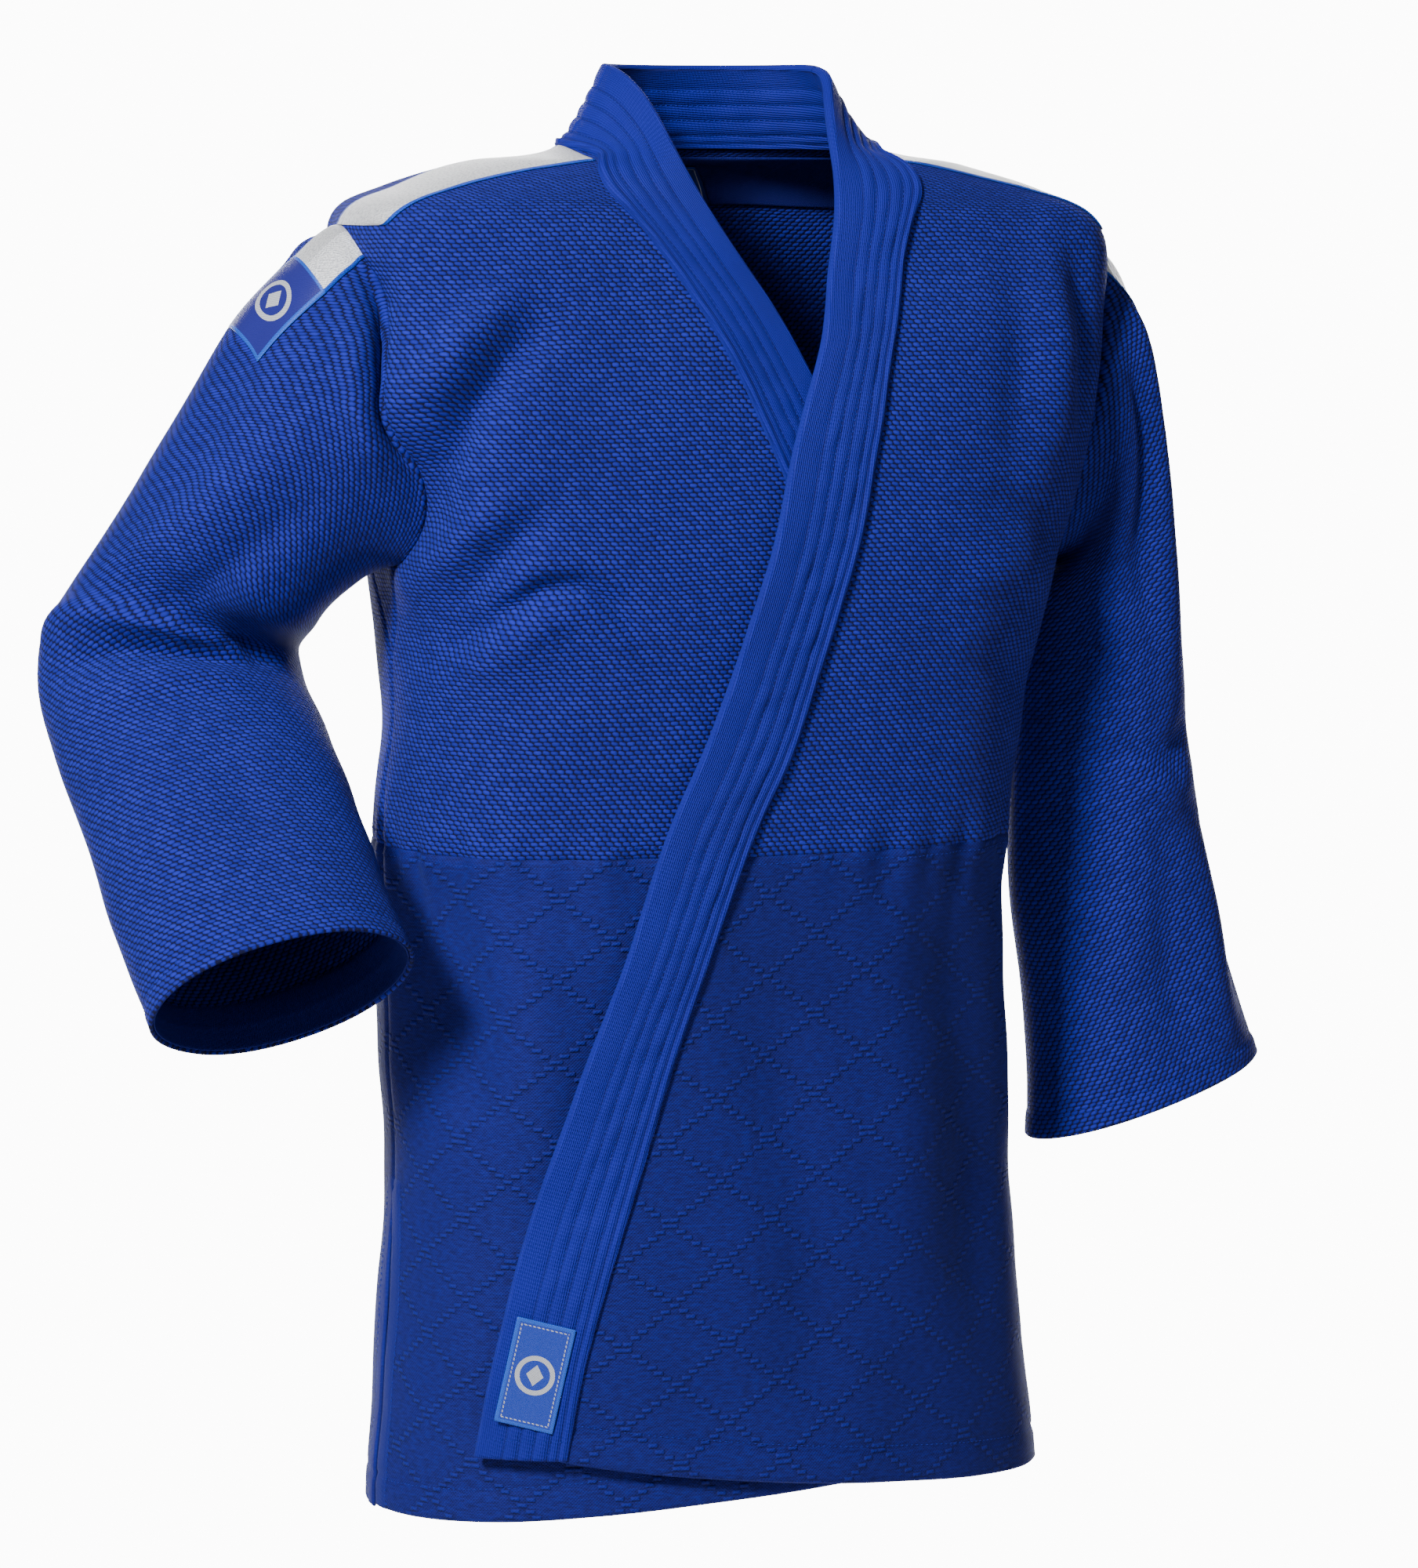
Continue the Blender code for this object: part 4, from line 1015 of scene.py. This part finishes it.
def neck_chain():
    """Middle surface of the whole band, from the right lapel's end round to the left one's."""
    places = np.linspace(-(len(LAPEL[RIGHT]) - 1.0), len(LAPEL[LEFT]) - 1.0, 3001)

    def ends(c):
        left, right = through(LAPEL[LEFT], np.abs(c)), through(LAPEL[RIGHT], np.abs(c))
        right = right + np.array((360.0, 0.0, 360.0, 0.0))
        return np.where(c[:, None] >= 0, left, right)

    data = ends(places)
    run = run_along(surface((data[:, 0] + data[:, 2]) / 2, (data[:, 1] + data[:, 3]) / 2))
    count = int(run[-1] / CHAIN_STEP)
    places = np.interp(np.linspace(0.0, run[-1], count), run, places)
    data = ends(places)
    across = np.linspace(0.0, 1.0, LAPEL_STEPS)
    calm = smooth_rows(data[:, None, [0, 1, 1]], 15.0)[:, 0, :2]
    below_neck = 1.0 - ramp(np.abs(places), 8.5, 11.0)
    near_neck = ramp(np.abs(places), 1.6, 3.4) * below_neck
    data[:, :2] += (calm - data[:, :2]) * near_neck[:, None]
    angle = data[:, 0:1] + (data[:, 2:3] - data[:, 0:1]) * across
    level = data[:, 1:2] + (data[:, 3:4] - data[:, 1:2]) * across
    lift = np.where(places[:, None] > SIDE_OF_NECK, left_lift(angle, level), 0.0)
    middle = torso(angle, level, LAPEL_MID + lift)
    soft = smooth_rows(middle, 6.0)
    beside_neck = ramp(np.abs(places), 1.2, 3.2) * below_neck
    share = beside_neck[:, None, None] * (across ** 0.8)[None, :, None]
    soft = soft + (smooth_rows(middle, 19.0) - soft) * share
    normal = grid_normals(soft, False)
    if (normal * surface_normal(angle, level)).sum() < 0:
        normal = -normal
    return places, soft, normal


LAPEL_STEPS = 46
CHAIN_STEP = 0.0019       # metres between the band's rows
CHAIN, CHAIN_MIDDLE, CHAIN_NORMAL = neck_chain()


ROUND_STEPS = 7           # points round each rim of the band
END_ROW = 0.012           # stitch row across a lapel, in from its end


def lapel_band(name, low, high, nodes, seed):
    """Folded, quilted band over the part of the chain from low to high."""
    first, last = np.searchsorted(CHAIN, low), np.searchsorted(CHAIN, high)
    part = slice(max(int(first) - (low > CHAIN[0]), 0), min(int(last) + 1, len(CHAIN)))
    middle, normal = CHAIN_MIDDLE[part], CHAIN_NORMAL[part]
    steps = LAPEL_STEPS
    across = np.linspace(0.0, 1.0, steps)
    run = run_along(middle[:, 20])
    across_grid = np.broadcast_to(across, middle.shape[:2])
    run_grid = np.broadcast_to(run[:, None], middle.shape[:2])
    body = LAPEL_HALF + 0.0004
    outer = middle + normal * (body + lapel_profile(across_grid, run_grid, seed))[..., None]
    under = lapel_profile(across_grid, run_grid, seed + 5) * (1.0 if name == "collar" else 0.7)
    inner = middle - normal * (body * 0.85 + under)[..., None]
    turn = np.linspace(0.0, math.pi, ROUND_STEPS + 2)[1:-1]

    def rounded(edge, inside, reach, half, angles):
        """Round rim of the band along one of its edges."""
        way = unit(middle[:, edge] - middle[:, inside])
        return np.stack([middle[:, edge] + way * reach * math.sin(phi)
                         + normal[:, edge] * half * math.cos(phi) for phi in angles], axis=1)

    nose = rounded(-1, -2, 0.0026, body - 0.0004, turn)
    back = rounded(0, 1, 0.0010, body - 0.0006, turn[::-1])
    loop = np.concatenate((outer, nose, inner[:, ::-1], back), axis=1)
    width = LAPEL_WIDTH
    u = np.concatenate((across * width, width + np.linspace(0.0005, 0.007, ROUND_STEPS),
                        2.0 * width + 0.008 - (1.0 - across[::-1]) * width,
                        -np.linspace(0.006, 0.0005, ROUND_STEPS)))
    uvs = np.stack(np.broadcast_arrays(u, run[:, None]), axis=-1)
    rows_count, cols = loop.shape[:2]
    index = np.arange(rows_count * cols).reshape(rows_count, cols)
    right = np.roll(index, -1, axis=1)
    quads = np.stack((index[:-1], right[:-1], right[1:], index[1:]), axis=-1).reshape(-1, 4)
    n_test = np.cross(loop[0, 1] - loop[0, 0], loop[1, 0] - loop[0, 0])
    if (n_test * normal[0, 0]).sum() < 0:
        quads = quads[:, ::-1]
    piece = Piece()
    piece.add(loop, quads, uvs, 0)
    a = np.arange(steps - 1)
    inner_at = steps + ROUND_STEPS + (steps - 1 - np.arange(steps))
    nose_at = np.concatenate(([steps - 1], steps + np.arange(ROUND_STEPS), [inner_at[-1]]))
    back_at = np.concatenate(([inner_at[0]], 2 * steps + ROUND_STEPS + np.arange(ROUND_STEPS), [0]))
    for ring, near in ((0, 1), (rows_count - 1, rows_count - 2)):
        base = ring * cols
        mid = piece.total + np.arange(steps)
        cap = middle[ring] + unit(middle[ring] - middle[near]) * 0.0012
        far = base + inner_at
        strips = np.concatenate((np.stack((base + a, base + a + 1, mid[a + 1], mid[a]), -1),
                                 np.stack((mid[a], mid[a + 1], far[a + 1], far[a]), -1)))
        fans = np.concatenate([
            np.stack((base + line[:-1], base + line[1:], np.full(ROUND_STEPS + 1, centre)), -1)
            for line, centre in ((nose_at, mid[-1]), (back_at, mid[0]))])
        test = np.cross(outer[ring, 1] - outer[ring, 0], cap[0] - outer[ring, 0])
        wrong = (test * (middle[ring, 0] - middle[near, 0])).sum() < 0
        cap_uv = np.stack((across * width, np.full(steps, run[ring])), -1)
        piece.add(cap, (strips[:, ::-1] if wrong else strips) - piece.total, cap_uv, 0)
        piece.faces.append(fans[:, ::-1] if wrong else fans)
        piece.slots.append(np.zeros(len(fans), int))
    dashes = {"slot": 1, "pitch": 0.0034, "length": 0.0024}
    for mark in STITCH_ROWS:
        col = int(round(mark * (steps - 1)))
        piece.stitches(outer[:, col], normal[:, col], **dashes)
        piece.stitches(inner[:, col], -normal[:, col], **dashes)
    if name != "collar":
        end = run[-1] - END_ROW if name == "left_lapel" else END_ROW
        line = int(np.searchsorted(run, end))
        piece.stitches(outer[line, 2:-2], normal[line, 2:-2], **dashes)
    item = piece.finish(name, [rib, sewing])
    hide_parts(*nodes)
    return item, outer, normal


# ---------------------------------------------------------------- sleeves
def armhole_line(side, turn):
    """The armhole's edge on the torso; turn goes from the underarm (0) over the top (0.5)."""
    f = np.where(turn <= 0.5, turn * 2.0, 2.0 - turn * 2.0)
    g = np.clip(f - 0.1, 0.0, None) / 0.9
    level = ARMPIT + (TIP - ARMPIT) * (0.5 - 0.5 * np.cos(math.pi * g))
    edge = armhole_angle(np.minimum(level, TIP - 1e-6))
    angle = np.where(f < 0.1, 90.0 - GUSSET_ANGLE * f / 0.1, edge)
    angle = np.where(f > 0.999, 90.0, angle)
    angle = np.where(turn > 0.5, 180.0 - angle, angle)
    return torso(side * angle, level, CLOTH / 2)


def ring_line(side, ring, turn):
    """One oval ring of a sleeve, with turn as in armhole_line."""
    centre, direction, half_width, half_depth, roll = ring
    along = unit(np.array(direction))
    guide = np.array((0.0, 0.0, 1.0)) if abs(along[0]) > 0.5 else np.array((side, 0.0, 0.0))
    outer = unit(guide - along * guide.dot(along))
    ahead = np.cross(along, outer) * side
    if ahead[1] > 0:
        ahead = -ahead
    turned = math.radians(roll)
    outer, ahead = (outer * math.cos(turned) - ahead * math.sin(turned),
                    ahead * math.cos(turned) + outer * math.sin(turned))
    spin = 2.0 * math.pi * turn[:, None]
    return np.array(centre) - outer * half_width * np.cos(spin) + ahead * half_depth * np.sin(spin)


# Folds of the sleeves, on (metres round from the outer line, ring): path, half width, height.
# The first is forward of the outer line; rings count as 0.11 m.
SLEEVE_FOLDS = {
    LEFT: (
        (((0.030, 0.012), (0.140, 0.016)), 0.011, -0.0090),
        (((-0.015, 0.035), (-0.060, 0.040), (-0.110, 0.045)), 0.024, 0.0090),
        (((0.030, 0.040), (0.040, 0.160), (0.034, 0.260)), 0.014, -0.0060),
        (((0.062, 0.050), (0.068, 0.180), (0.060, 0.300)), 0.013, 0.0065),
        (((0.100, 0.060), (0.094, 0.200), (0.074, 0.300)), 0.012, -0.0065),
        (((0.045, 0.325), (0.070, 0.340), (0.110, 0.326)), 0.010, -0.0045),
        (((0.040, 0.352), (0.070, 0.364), (0.115, 0.346)), 0.012, 0.0035),
        (((0.045, 0.385), (0.050, 0.450), (0.058, 0.530)), 0.015, 0.0055),
        (((0.080, 0.375), (0.087, 0.450), (0.098, 0.530)), 0.014, -0.0060),
        (((0.026, 0.400), (0.024, 0.470), (0.020, 0.540)), 0.014, -0.0030),
    ),
    RIGHT: (
        (((0.040, 0.014), (0.180, 0.018)), 0.013, -0.0130),
        (((-0.010, 0.030), (-0.050, 0.036), (-0.110, 0.042)), 0.024, 0.0130),
        (((0.070, 0.045), (0.110, 0.060), (0.160, 0.050)), 0.014, 0.0050),
        (((0.020, 0.060), (0.045, 0.140), (0.075, 0.210)), 0.016, -0.0040),
        (((0.110, 0.110), (0.090, 0.200), (0.060, 0.270)), 0.014, 0.0060),
        (((0.140, 0.120), (0.122, 0.215), (0.092, 0.285)), 0.012, -0.0065),
        (((-0.010, 0.322), (0.045, 0.306), (0.090, 0.308), (0.130, 0.324)), 0.012, 0.0095),
        (((0.010, 0.348), (0.065, 0.334), (0.105, 0.338), (0.145, 0.346)), 0.010, -0.0085),
        (((0.050, 0.372), (0.100, 0.362), (0.140, 0.368)), 0.012, 0.0045),
        (((0.130, 0.300), (0.150, 0.330), (0.160, 0.350)), 0.010, -0.0070),
        (((0.060, 0.395), (0.062, 0.450), (0.055, 0.525)), 0.018, 0.0035),
        (((0.105, 0.400), (0.110, 0.460), (0.112, 0.530)), 0.016, -0.0035),
    ),
}


RING_LENGTH = 0.11


def sleeve_grid(side, turns, rings):
    """Grid of middle points on a sleeve with its folds, and its flat pattern coordinates."""
    rows = [armhole_line(side, turns)]
    for ring in (LEFT_RINGS if side == LEFT else RIGHT_RINGS):
        rows.append(ring_line(side, ring, turns))
    rows = np.array(rows)
    points = np.array([through(rows.reshape(6, -1), ring).reshape(-1, 3) for ring in rings])
    around = np.linalg.norm(np.roll(points, -1, axis=1) - points, axis=-1)
    start = np.concatenate((np.zeros((len(rings), 1)), np.cumsum(around, axis=1)[:, :-1]), axis=1)
    half = int(np.argmin(np.abs(turns - 0.5)))
    u = start[:, half:half + 1] - start
    down = np.linalg.norm(np.diff(points, axis=0), axis=-1)
    v = np.concatenate((np.cumsum(down[::-1], axis=0)[::-1], np.zeros((1, len(turns)))))
    normals = grid_normals(points, True) * outward_sign(points)
    place = np.stack((u, np.broadcast_to(rings[:, None] * RING_LENGTH, u.shape)), axis=-1)
    push = sum(stroke(place, path, width, height) for path, width, height in SLEEVE_FOLDS[side])
    if side == LEFT:
        underarm = np.exp(-(np.minimum(turns, 1.0 - turns) / 0.10) ** 2)
        at_elbow = ramp(rings, 1.0, 1.8) * (1.0 - ramp(rings, 3.6, 4.7))
        push = push + 0.0115 * underarm * at_elbow[:, None]
    push = push + 0.0016 * wobble(points, 0.075, 31) + 0.0007 * wobble(points, 0.030, 32)
    push = push * ramp(rings, 0.0, 0.14)[:, None]
    push += -0.0024 * np.exp(-(rings * 0.1 / 0.0050) ** 2)[:, None]
    from_cuff = v.mean(axis=1, keepdims=True)
    for line in CUFF_ROWS:
        push = push + crease(from_cuff - line, 0.0005, 0.0012)
    push = push + 0.0008 * (from_cuff < 0.0125)
    points = points + normals * push[..., None]
    return points, np.stack((u, np.broadcast_to(v, u.shape)), axis=-1), from_cuff[:, 0]


SPLIT = 2.45              # ring where a sleeve's two pieces meet, above the elbow
TURN_COUNT = 132
SLEEVE_TURNS = np.arange(TURN_COUNT) / TURN_COUNT


def tube_extent(spans):
    """Widest girth and full length of a sleeve piece's flat coordinates."""
    return float(np.ptp(spans[..., 0], axis=1).max()), float(np.ptp(spans[..., 1]))


def sleeve(side):
    """Upper sleeve, forearm sleeve with the elbow, and the facing inside the cuff."""
    word = WORD[side]
    upper_rings = np.linspace(0.0, SPLIT, 78)
    lower_rings = np.linspace(SPLIT, CUFF, 92)[1:]
    rings = np.concatenate((upper_rings, lower_rings))
    points, uvs, from_cuff = sleeve_grid(side, SLEEVE_TURNS, rings)
    cut = len(upper_rings)
    outward = outward_sign(points)
    made = []
    for name, part in ((f"{word}_upper_sleeve", slice(0, cut)),
                       (f"{word}_forearm_sleeve", slice(cut - 1, None))):
        piece = Piece()
        top, normal = piece.cloth(points[part], uvs[part], outward, closed=True)
        if part.start:
            local = from_cuff[part]
            for line in CUFF_ROWS:
                row = int(np.argmin(np.abs(local - line)))
                piece.stitches(top[row], normal[row], 1)
        item = piece.finish(name, [grain, sewing])
        made.append((item, tube_extent(uvs[part]), piece.area))
    (upper, *upper_size), (lower, *lower_size) = made
    declare(upper, *upper_size, "rice_grain_cloth", [f"{word}_upper_sleeve"], [f"{word}_front_body"])
    declare(lower, *lower_size, "rice_grain_cloth",
            [f"{word}_forearm_sleeve", f"{word}_elbow_bend"], [upper.name])
    # facing inside the cuff
    inner_rings = np.linspace(CUFF - 0.040 / 0.118, CUFF - 0.012, 16)
    grid_points, grid_uv, _ = sleeve_grid(
        side, SLEEVE_TURNS, np.concatenate((np.linspace(0.0, 4.6, 24), inner_rings)))
    grid_points, grid_uv = grid_points[24:], grid_uv[24:]
    inward = -grid_normals(grid_points, True) * outward
    piece = Piece()
    piece.cloth(grid_points + inward * 0.0021, grid_uv, outward, thickness=0.0009, closed=True)
    facing = piece.finish(f"{word}_cuff_facing", [hem])
    declare(facing, tube_extent(grid_uv), piece.area, "facing_twill",
            [f"{word}_cuff_facing"], [lower.name])
    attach(facing, f"{word}_forearm")
    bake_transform(upper)
    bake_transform(lower)


# ---------------------------------------------------------------- trim
def small_cloth(name, points, uvs, material, slot, nodes, body, rests_on, thickness=0.0009):
    """A small sewn-on piece, whose grid normals point away from what it lies on."""
    piece = Piece()
    piece.cloth(points, uvs, 1.0, thickness=thickness)
    item = piece.finish(name, [material])
    declare(item, extent(uvs), piece.area, slot, nodes, rests_on)
    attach(item, body)


def shoulder_tape(side):
    """Silver band along the shoulder; returns its two corners at the armhole."""
    word = WORD[side]
    rows, cols = 60, 26
    s = np.linspace(0.0, 1.0, cols)[None, :]
    t = np.linspace(0.0, 1.0, rows)[:, None]
    x = 0.098 + (0.234 - 0.098) * t
    y = -0.056 + 2.0 * TAPE_HALF * s
    angle, level = np.zeros((rows, cols)), np.zeros((rows, cols))
    levels = np.linspace(TIP, NECK, 241)
    angles = np.linspace(0.0, 180.0, 361)
    lattice = surface(angles[None, :], levels[:, None])
    for i in range(rows):
        for j in range(cols):
            away = (lattice[..., 0] - x[i, 0]) ** 2 + (lattice[..., 1] - y[0, j]) ** 2
            k = np.unravel_index(int(np.argmin(away)), away.shape)
            angle[i, j], level[i, j] = angles[k[1]], levels[k[0]]
    for _ in range(6):
        for grid in (angle, level):
            grid[1:-1, 1:-1] = (grid[1:-1, 1:-1] * 2 + grid[:-2, 1:-1] + grid[2:, 1:-1]
                                + grid[1:-1, :-2] + grid[1:-1, 2:]) / 6
            for edge in (grid[0], grid[-1], grid[:, 0], grid[:, -1]):
                edge[1:-1] = (edge[:-2] + edge[1:-1] + edge[2:]) / 3
    points = torso(side * angle, level, CLOTH + 0.0006)
    far_edge = points[-1, [0, -1]]
    if side == RIGHT:
        points = points[:, ::-1]
    uvs = np.stack((np.broadcast_to(TAPE_HALF * (2.0 * s - 1.0), angle.shape),
                    np.broadcast_to(TAPE_LENGTH * t, angle.shape)), axis=-1)
    if grid_normals(points, False)[..., 2].mean() <= 0:
        points, uvs = points[::-1], uvs[::-1]
    small_cloth(f"{word}_shoulder_tape", points, uvs, silver, "shoulder_tape",
                [f"{word}_shoulder_tape"], "torso", [f"{word}_front_body"])
    return far_edge


def tape_turns(side, far_edge):
    """Places round the armhole nearest to the two corners of the shoulder tape."""
    turns = np.linspace(0.25, 0.75, 501)
    line = armhole_line(side, turns)
    return [float(turns[np.argmin(np.linalg.norm(line - corner, axis=1))]) for corner in far_edge]


def on_sleeve(side, turn, ring):
    """Point and normal on a sleeve's folded middle surface."""
    rings = np.linspace(0.0, CUFF, 170)
    points, _, _ = sleeve_grid(side, SLEEVE_TURNS, rings)
    normals = grid_normals(points, True) * outward_sign(points)
    i = ring / CUFF * (len(rings) - 1)
    j = np.mod(turn * TURN_COUNT, TURN_COUNT)
    i0, j0 = np.clip(i.astype(int), 0, len(rings) - 2), j.astype(int) % TURN_COUNT
    fi, fj = (i - i0)[..., None], (j - np.floor(j))[..., None]
    j1 = (j0 + 1) % TURN_COUNT
    both = []
    for grid in (points, normals):
        both.append((grid[i0, j0] * (1 - fj) + grid[i0, j1] * fj) * (1 - fi)
                    + (grid[i0 + 1, j0] * (1 - fj) + grid[i0 + 1, j1] * fj) * fi)
    return both[0], unit(both[1])


def shoulder_patch(side, far_edge):
    """Patch on the upper sleeve, and the shoulder tape's end above it."""
    word = WORD[side]
    s, t = cell_grid(34, 24)
    points, normals = on_sleeve(side, 0.50 - 0.11 * s, 0.50 + 0.60 * t)
    points = points + normals * (CLOTH / 2 + 0.0007)
    uvs = np.stack((PATCH_HALF[0] * (2.0 * s - 1.0), PATCH_HALF[1] * (2.0 * t - 1.0)), axis=-1)
    points, uvs = turned_to(points, uvs, normals)
    small_cloth(f"{word}_shoulder_patch", points, uvs, patch_satin, "patch_satin",
                [f"{word}_shoulder_patch"], f"{word}_upper_arm", [f"{word}_upper_sleeve"])
    # the silver band's end on the sleeve, down to the patch
    s, t = cell_grid(16, 24)
    front_turn, back_turn = tape_turns(side, far_edge)
    start_turn = back_turn + (front_turn - back_turn) * s
    points, normals = on_sleeve(side, start_turn + (0.50 - 0.11 * s - start_turn) * t, 0.52 * t)
    points = points + normals * (CLOTH / 2 + 0.0005)
    length = np.linalg.norm(points[-1, 12] - points[0, 12])
    uvs = np.stack((TAPE_HALF * (2.0 * s - 1.0), length * t), axis=-1)
    points, uvs = turned_to(points, uvs, normals)
    small_cloth(f"{word}_sleeve_tape", points, uvs, silver, "shoulder_tape", [],
                f"{word}_upper_arm", [f"{word}_upper_sleeve"])


def lapel_label(outer, normal):
    """Woven label lying on the left lapel near its end."""
    low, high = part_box("lapel_label")
    centre = (np.array(low) + np.array(high)) / 2
    row = int(np.argmin(np.linalg.norm(outer[:, 23] - centre, axis=1)))
    down = unit(outer[row + 6, 23] - outer[row - 6, 23])
    across = outer[row, 38] - outer[row, 8]
    across = unit(across - down * across.dot(down))
    up = unit(np.cross(across, -down))
    if up.dot(normal[row, 23]) < 0:
        across = -across
        up = -up
    s, t = cell_grid(44, 30, low=-1.0)
    origin = outer[row, 23] + up * 0.0009
    points = origin + across * s[..., None] * 0.0172 - down * t[..., None] * 0.0312
    uvs = np.stack((s * LABEL_HALF[0], t * LABEL_HALF[1]), axis=-1)
    points, uvs = turned_to(points, uvs, up)
    small_cloth("lapel_label", points, uvs, label_satin, "woven_label", ["lapel_label"],
                "left_flap", ["left_lapel"], thickness=0.0008)


def inside_back():
    """Yoke lining and size label inside the back, below the collar."""
    levels = even_rows(9.4, 11.8, 40)[:, None]
    s = np.linspace(-1.0, 1.0, 90)[None, :]
    half = 56.0 + 8.0 * (levels - 9.4) / 2.4
    angle = 180.0 + half * s
    level = np.broadcast_to(levels, angle.shape)
    points = torso(angle, level, -0.0012)
    points, uvs = turned_to(points, pattern(angle, level, 180.0), surface_normal(angle, level))
    small_cloth("yoke_lining", points, uvs, hem, "facing_twill", ["yoke_lining"], "torso",
                ["back_body"])
    levels = even_rows(9.5, 11.3, 30, 180.0)[:, None]
    angle = 180.0 + 6.0 * np.linspace(-1.0, 1.0, 24)[None, :] + np.zeros_like(levels)
    level = np.broadcast_to(levels, angle.shape)
    points = torso(angle, level, -0.0032)
    half = (np.linalg.norm(points[15, 0] - points[15, -1]) / 2,
            np.linalg.norm(points[0, 12] - points[-1, 12]) / 2)
    s, t = cell_grid(30, 24, low=-1.0)
    uvs = np.stack((half[0] * s, half[1] * t), axis=-1)
    points, uvs = turned_to(points, uvs, surface_normal(angle, level))
    small_cloth("neck_label", points, uvs, neck_label_satin(half), "woven_label",
                ["neck_label"], "torso", ["yoke_lining"])


# ---------------------------------------------------------------- build the jacket
for side in (LEFT, RIGHT):
    body, skirt = front(side)
    if side == LEFT:
        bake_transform(body)
        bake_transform(skirt)
    else:
        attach(body, "torso")
        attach(skirt, "torso")
back_body, back_skirt = back()
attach(back_body, "torso")
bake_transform(back_skirt)
for side in (LEFT, RIGHT):
    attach(gusset(side), "torso")

collar, _, _ = lapel_band("collar", -SIDE_OF_NECK, SIDE_OF_NECK, ["collar", "collar_core"], 41)
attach(collar, "torso")
left_lapel, left_outer, left_normal = lapel_band(
    "left_lapel", SIDE_OF_NECK, CHAIN[-1],
    ["left_lapel", "left_lapel_core", "left_lapel_tail", "left_lapel_tail_core"], 43)
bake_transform(left_lapel)
right_lapel, _, _ = lapel_band("right_lapel", CHAIN[0], -SIDE_OF_NECK,
                               ["right_lapel", "right_lapel_core"], 47)
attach(right_lapel, "torso")

for side in (LEFT, RIGHT):
    sleeve(side)
    shoulder_patch(side, shoulder_tape(side))
lapel_label(left_outer, left_normal)
inside_back()

# ---------------------------------------------------------------- floor, light and camera
FLOOR_Z = -1.45


def stage_floor():
    """Plain pale disc below the jacket."""
    bpy.ops.mesh.primitive_circle_add(vertices=96, radius=1.7, fill_type="NGON",
                                      location=(0.0, 0.0, FLOOR_Z))
    floor = bpy.context.object
    floor.name = "studio_floor"
    material = bpy.data.materials.new("pale_floor")
    material.use_nodes = True
    shader = material.node_tree.nodes["Principled BSDF"]
    shader.inputs["Base Color"].default_value = (0.85, 0.85, 0.86, 1.0)
    shader.inputs["Roughness"].default_value = 0.9
    floor.data.materials.append(material)


def studio_world():
    """Dim room with a wide white backdrop behind the object."""
    world = bpy.data.worlds.new("studio")
    world.use_nodes = True
    tree = world.node_tree
    place = tree.nodes.new("ShaderNodeTexCoord")
    facing = tree.nodes.new("ShaderNodeVectorMath")
    facing.operation = "DOT_PRODUCT"
    facing.inputs[1].default_value = (0.372, 0.920, -0.118)
    tree.links.new(place.outputs["Generated"], facing.inputs[0])
    spread = tree.nodes.new("ShaderNodeMapRange")
    spread.interpolation_type = "SMOOTHSTEP"
    for socket, value in zip(spread.inputs[1:5], (0.80, 0.96, 0.19, 12.0)):
        socket.default_value = value
    tree.links.new(facing.outputs["Value"], spread.inputs[0])
    tree.nodes["Background"].inputs[0].default_value = (1.0, 1.0, 1.0, 1.0)
    tree.links.new(spread.outputs[0], tree.nodes["Background"].inputs[1])
    bpy.context.scene.world = world


def area_light(name, place, target, size, power):
    """Square lamp, size metres wide, turned to its target."""
    data = bpy.data.lights.new(name, "AREA")
    data.shape = "RECTANGLE"
    data.size, data.size_y = size, size
    data.energy = power
    lamp = bpy.data.objects.new(name, data)
    bpy.context.scene.collection.objects.link(lamp)
    way = np.array(target, float) - np.array(place, float)
    lamp.location = place
    lamp.rotation_euler = mathutils.Vector(way).to_track_quat("-Z", "Y").to_euler()


stage_floor()
studio_world()
area_light("key", (-2.5, -1.9, 1.7), (0.0, 0.0, -0.25), 0.7, 235.0)
area_light("fill", (1.2, -3.0, 0.8), (0.0, 0.0, -0.4), 1.6, 9.0)

CAMERA_TURN, CAMERA_AWAY = math.radians(22.0), 3.2
camera_data = bpy.data.cameras.new("camera")
camera_data.lens = 122.55
camera_data.sensor_width = 36.0
camera = bpy.data.objects.new("camera", camera_data)
bpy.context.scene.collection.objects.link(camera)
camera.location = (-CAMERA_AWAY * math.sin(CAMERA_TURN), -CAMERA_AWAY * math.cos(CAMERA_TURN), 0.0)
camera.rotation_euler = (math.radians(90.0 - 6.7845), 0.0, -(CAMERA_TURN - math.radians(0.0715)))
bpy.context.scene.camera = camera
